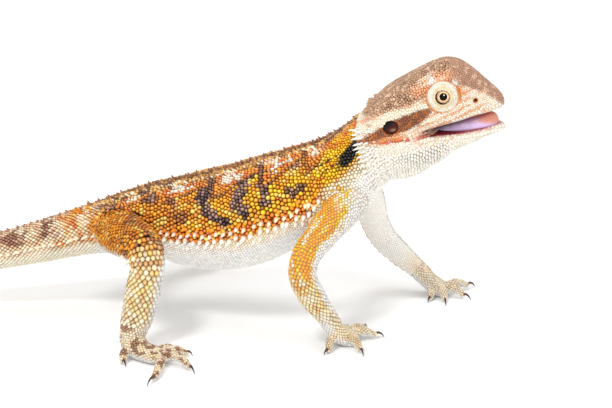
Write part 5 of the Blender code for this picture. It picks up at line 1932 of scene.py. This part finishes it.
def make_material(name, group, roughness, grain, shade, bump, coat=0.0, shine=0.25, colour=None):
    """A finish that reads the markings, or one colour, through the shared grain."""
    material = bpy.data.materials.new(name)
    material.use_nodes = True
    nodes, links = material.node_tree.nodes, material.node_tree.links
    shader = nodes["Principled BSDF"]
    detail = nodes.new("ShaderNodeGroup")
    detail.node_tree = group
    detail.inputs["Grain size"].default_value = grain
    detail.inputs["Shade change"].default_value = shade
    detail.inputs["Roughness"].default_value = roughness
    if colour is None:
        paint = nodes.new("ShaderNodeAttribute")
        paint.attribute_name = "Marking"
        links.new(paint.outputs["Color"], detail.inputs["Colour"])
    else:
        detail.inputs["Colour"].default_value = (*linear(colour), 1.0)
    links.new(detail.outputs["Colour"], shader.inputs["Base Color"])
    links.new(detail.outputs["Roughness"], shader.inputs["Roughness"])
    raise_it = nodes.new("ShaderNodeBump")
    raise_it.inputs["Strength"].default_value = bump
    raise_it.inputs["Distance"].default_value = 0.08 * MM
    links.new(detail.outputs["Height"], raise_it.inputs["Height"])
    links.new(raise_it.outputs["Normal"], shader.inputs["Normal"])
    shader.inputs["Specular IOR Level"].default_value = shine
    shader.inputs["Coat Weight"].default_value = coat
    shader.inputs["Coat Roughness"].default_value = 0.12
    return material


def wear(obj, material):
    obj.data.materials.clear()
    obj.data.materials.append(material)
    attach(obj, "root")


def make_camera():
    aim = CENTRE_SHIFT + Vector(VIEW_AIM) * MM
    tilt = math.radians(VIEW_ELEVATION)
    away = Vector((0, -math.cos(tilt), math.sin(tilt))) * VIEW_DISTANCE * MM
    data = bpy.data.cameras.new("camera")
    data.sensor_width = 36.0
    data.lens = 36.0 * VIEW_DISTANCE / VIEW_WIDTH
    data.clip_start = 0.01
    camera = bpy.data.objects.new("camera", data)
    camera.location = aim + away
    camera.rotation_euler = (-away).to_track_quat("-Z", "Y").to_euler()
    bpy.context.scene.collection.objects.link(camera)
    bpy.context.scene.camera = camera


def area_light(name, at, size, power, aim=(0, 0, 0.03)):
    data = bpy.data.lights.new(name, "AREA")
    data.shape = "DISK"
    data.size = size
    data.energy = power
    light = bpy.data.objects.new(name, data)
    light.location = at
    light.rotation_euler = (Vector(aim) - Vector(at)).to_track_quat("-Z", "Y").to_euler()
    bpy.context.scene.collection.objects.link(light)
    return light


def light_eyes(eyes):
    """A small lamp that puts a glint in the eyes and lights nothing else."""
    lit = collection("lit_eyes")
    lit.objects.link(eyes)
    lamp = area_light(*GLINT_LAMP)
    lamp.light_linking.receiver_collection = lit


def make_studio(group):
    world = bpy.data.worlds.new("studio")
    world.use_nodes = True
    background = world.node_tree.nodes["Background"]
    background.inputs["Color"].default_value = (1.0, 1.0, 1.0, 1.0)
    background.inputs["Strength"].default_value = WORLD_LIGHT
    bpy.context.scene.world = world
    bpy.context.scene.view_settings.view_transform = "Standard"
    for lamp in LAMPS:
        area_light(*lamp)
    bpy.ops.mesh.primitive_plane_add(size=8.0, location=(0, 0, 0))
    floor = bpy.context.object
    floor.name = "floor"
    floor.data.materials.append(make_material("floor_paper", group, 0.7, 3.0, 0.02, 0.0, colour="paper"))
    floor.select_set(False)


def paint_skin(skin):
    """The markings on the skin itself; where scales cover it, the gaps' colour, a little darker still as
    painted shade under the scales.
    """
    points, normals = mesh_arrays(skin.data)
    colours, spot = markings(points, normals)
    covered = ~bare(normals, spot)
    gaps = gap_colour(colours, shape_kinds(spot)[0], spot)
    # Covered skin takes the gaps' own dark colour, times 0.92 as painted shade under the scales.
    colours[covered] = gaps[covered] * 0.92
    write_colours(skin.data, colours)


def press_down(skin):
    """Flattens whatever lies below the floor."""
    places = np.empty(3 * len(skin.data.vertices))
    skin.data.vertices.foreach_get("co", places)
    places = places.reshape(-1, 3)
    places[:, 2] = np.maximum(places[:, 2], 0.0)
    skin.data.vertices.foreach_set("co", places.ravel())


make_camera()
grain_group = detail_group()
make_studio(grain_group)

skin_piece = make_skin()
press_down(skin_piece)
paint_skin(skin_piece)
skin_tree, scale_pieces = make_scales(skin_piece)
spine_piece = make_spines(skin_tree)
settle(skin_piece, "skin")
claw_piece = make_claws()
eye_piece = make_eyes()
light_eyes(eye_piece)
tongue_piece = make_tongue()
ear_piece = make_eardrums()

finishes = {name: make_material(name, grain_group, *values) for name, values in FINISHES.items()}
wear(skin_piece, finishes["skin"])
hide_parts(*FLESH_NODES)
for piece in scale_pieces:
    finish_name, slot_name, _ = FAMILIES[piece.name.split("_")[1]]
    wear(piece, finishes[finish_name])
wear(spine_piece, finishes["spines"])
wear(claw_piece, finishes["claw_horn"])
wear(eye_piece, finishes["eye"])
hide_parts("eye_left", "eye_right")
wear(tongue_piece, finishes["tongue"])
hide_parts("tongue")
wear(ear_piece, finishes["eardrum"])
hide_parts("ear_left", "ear_right")
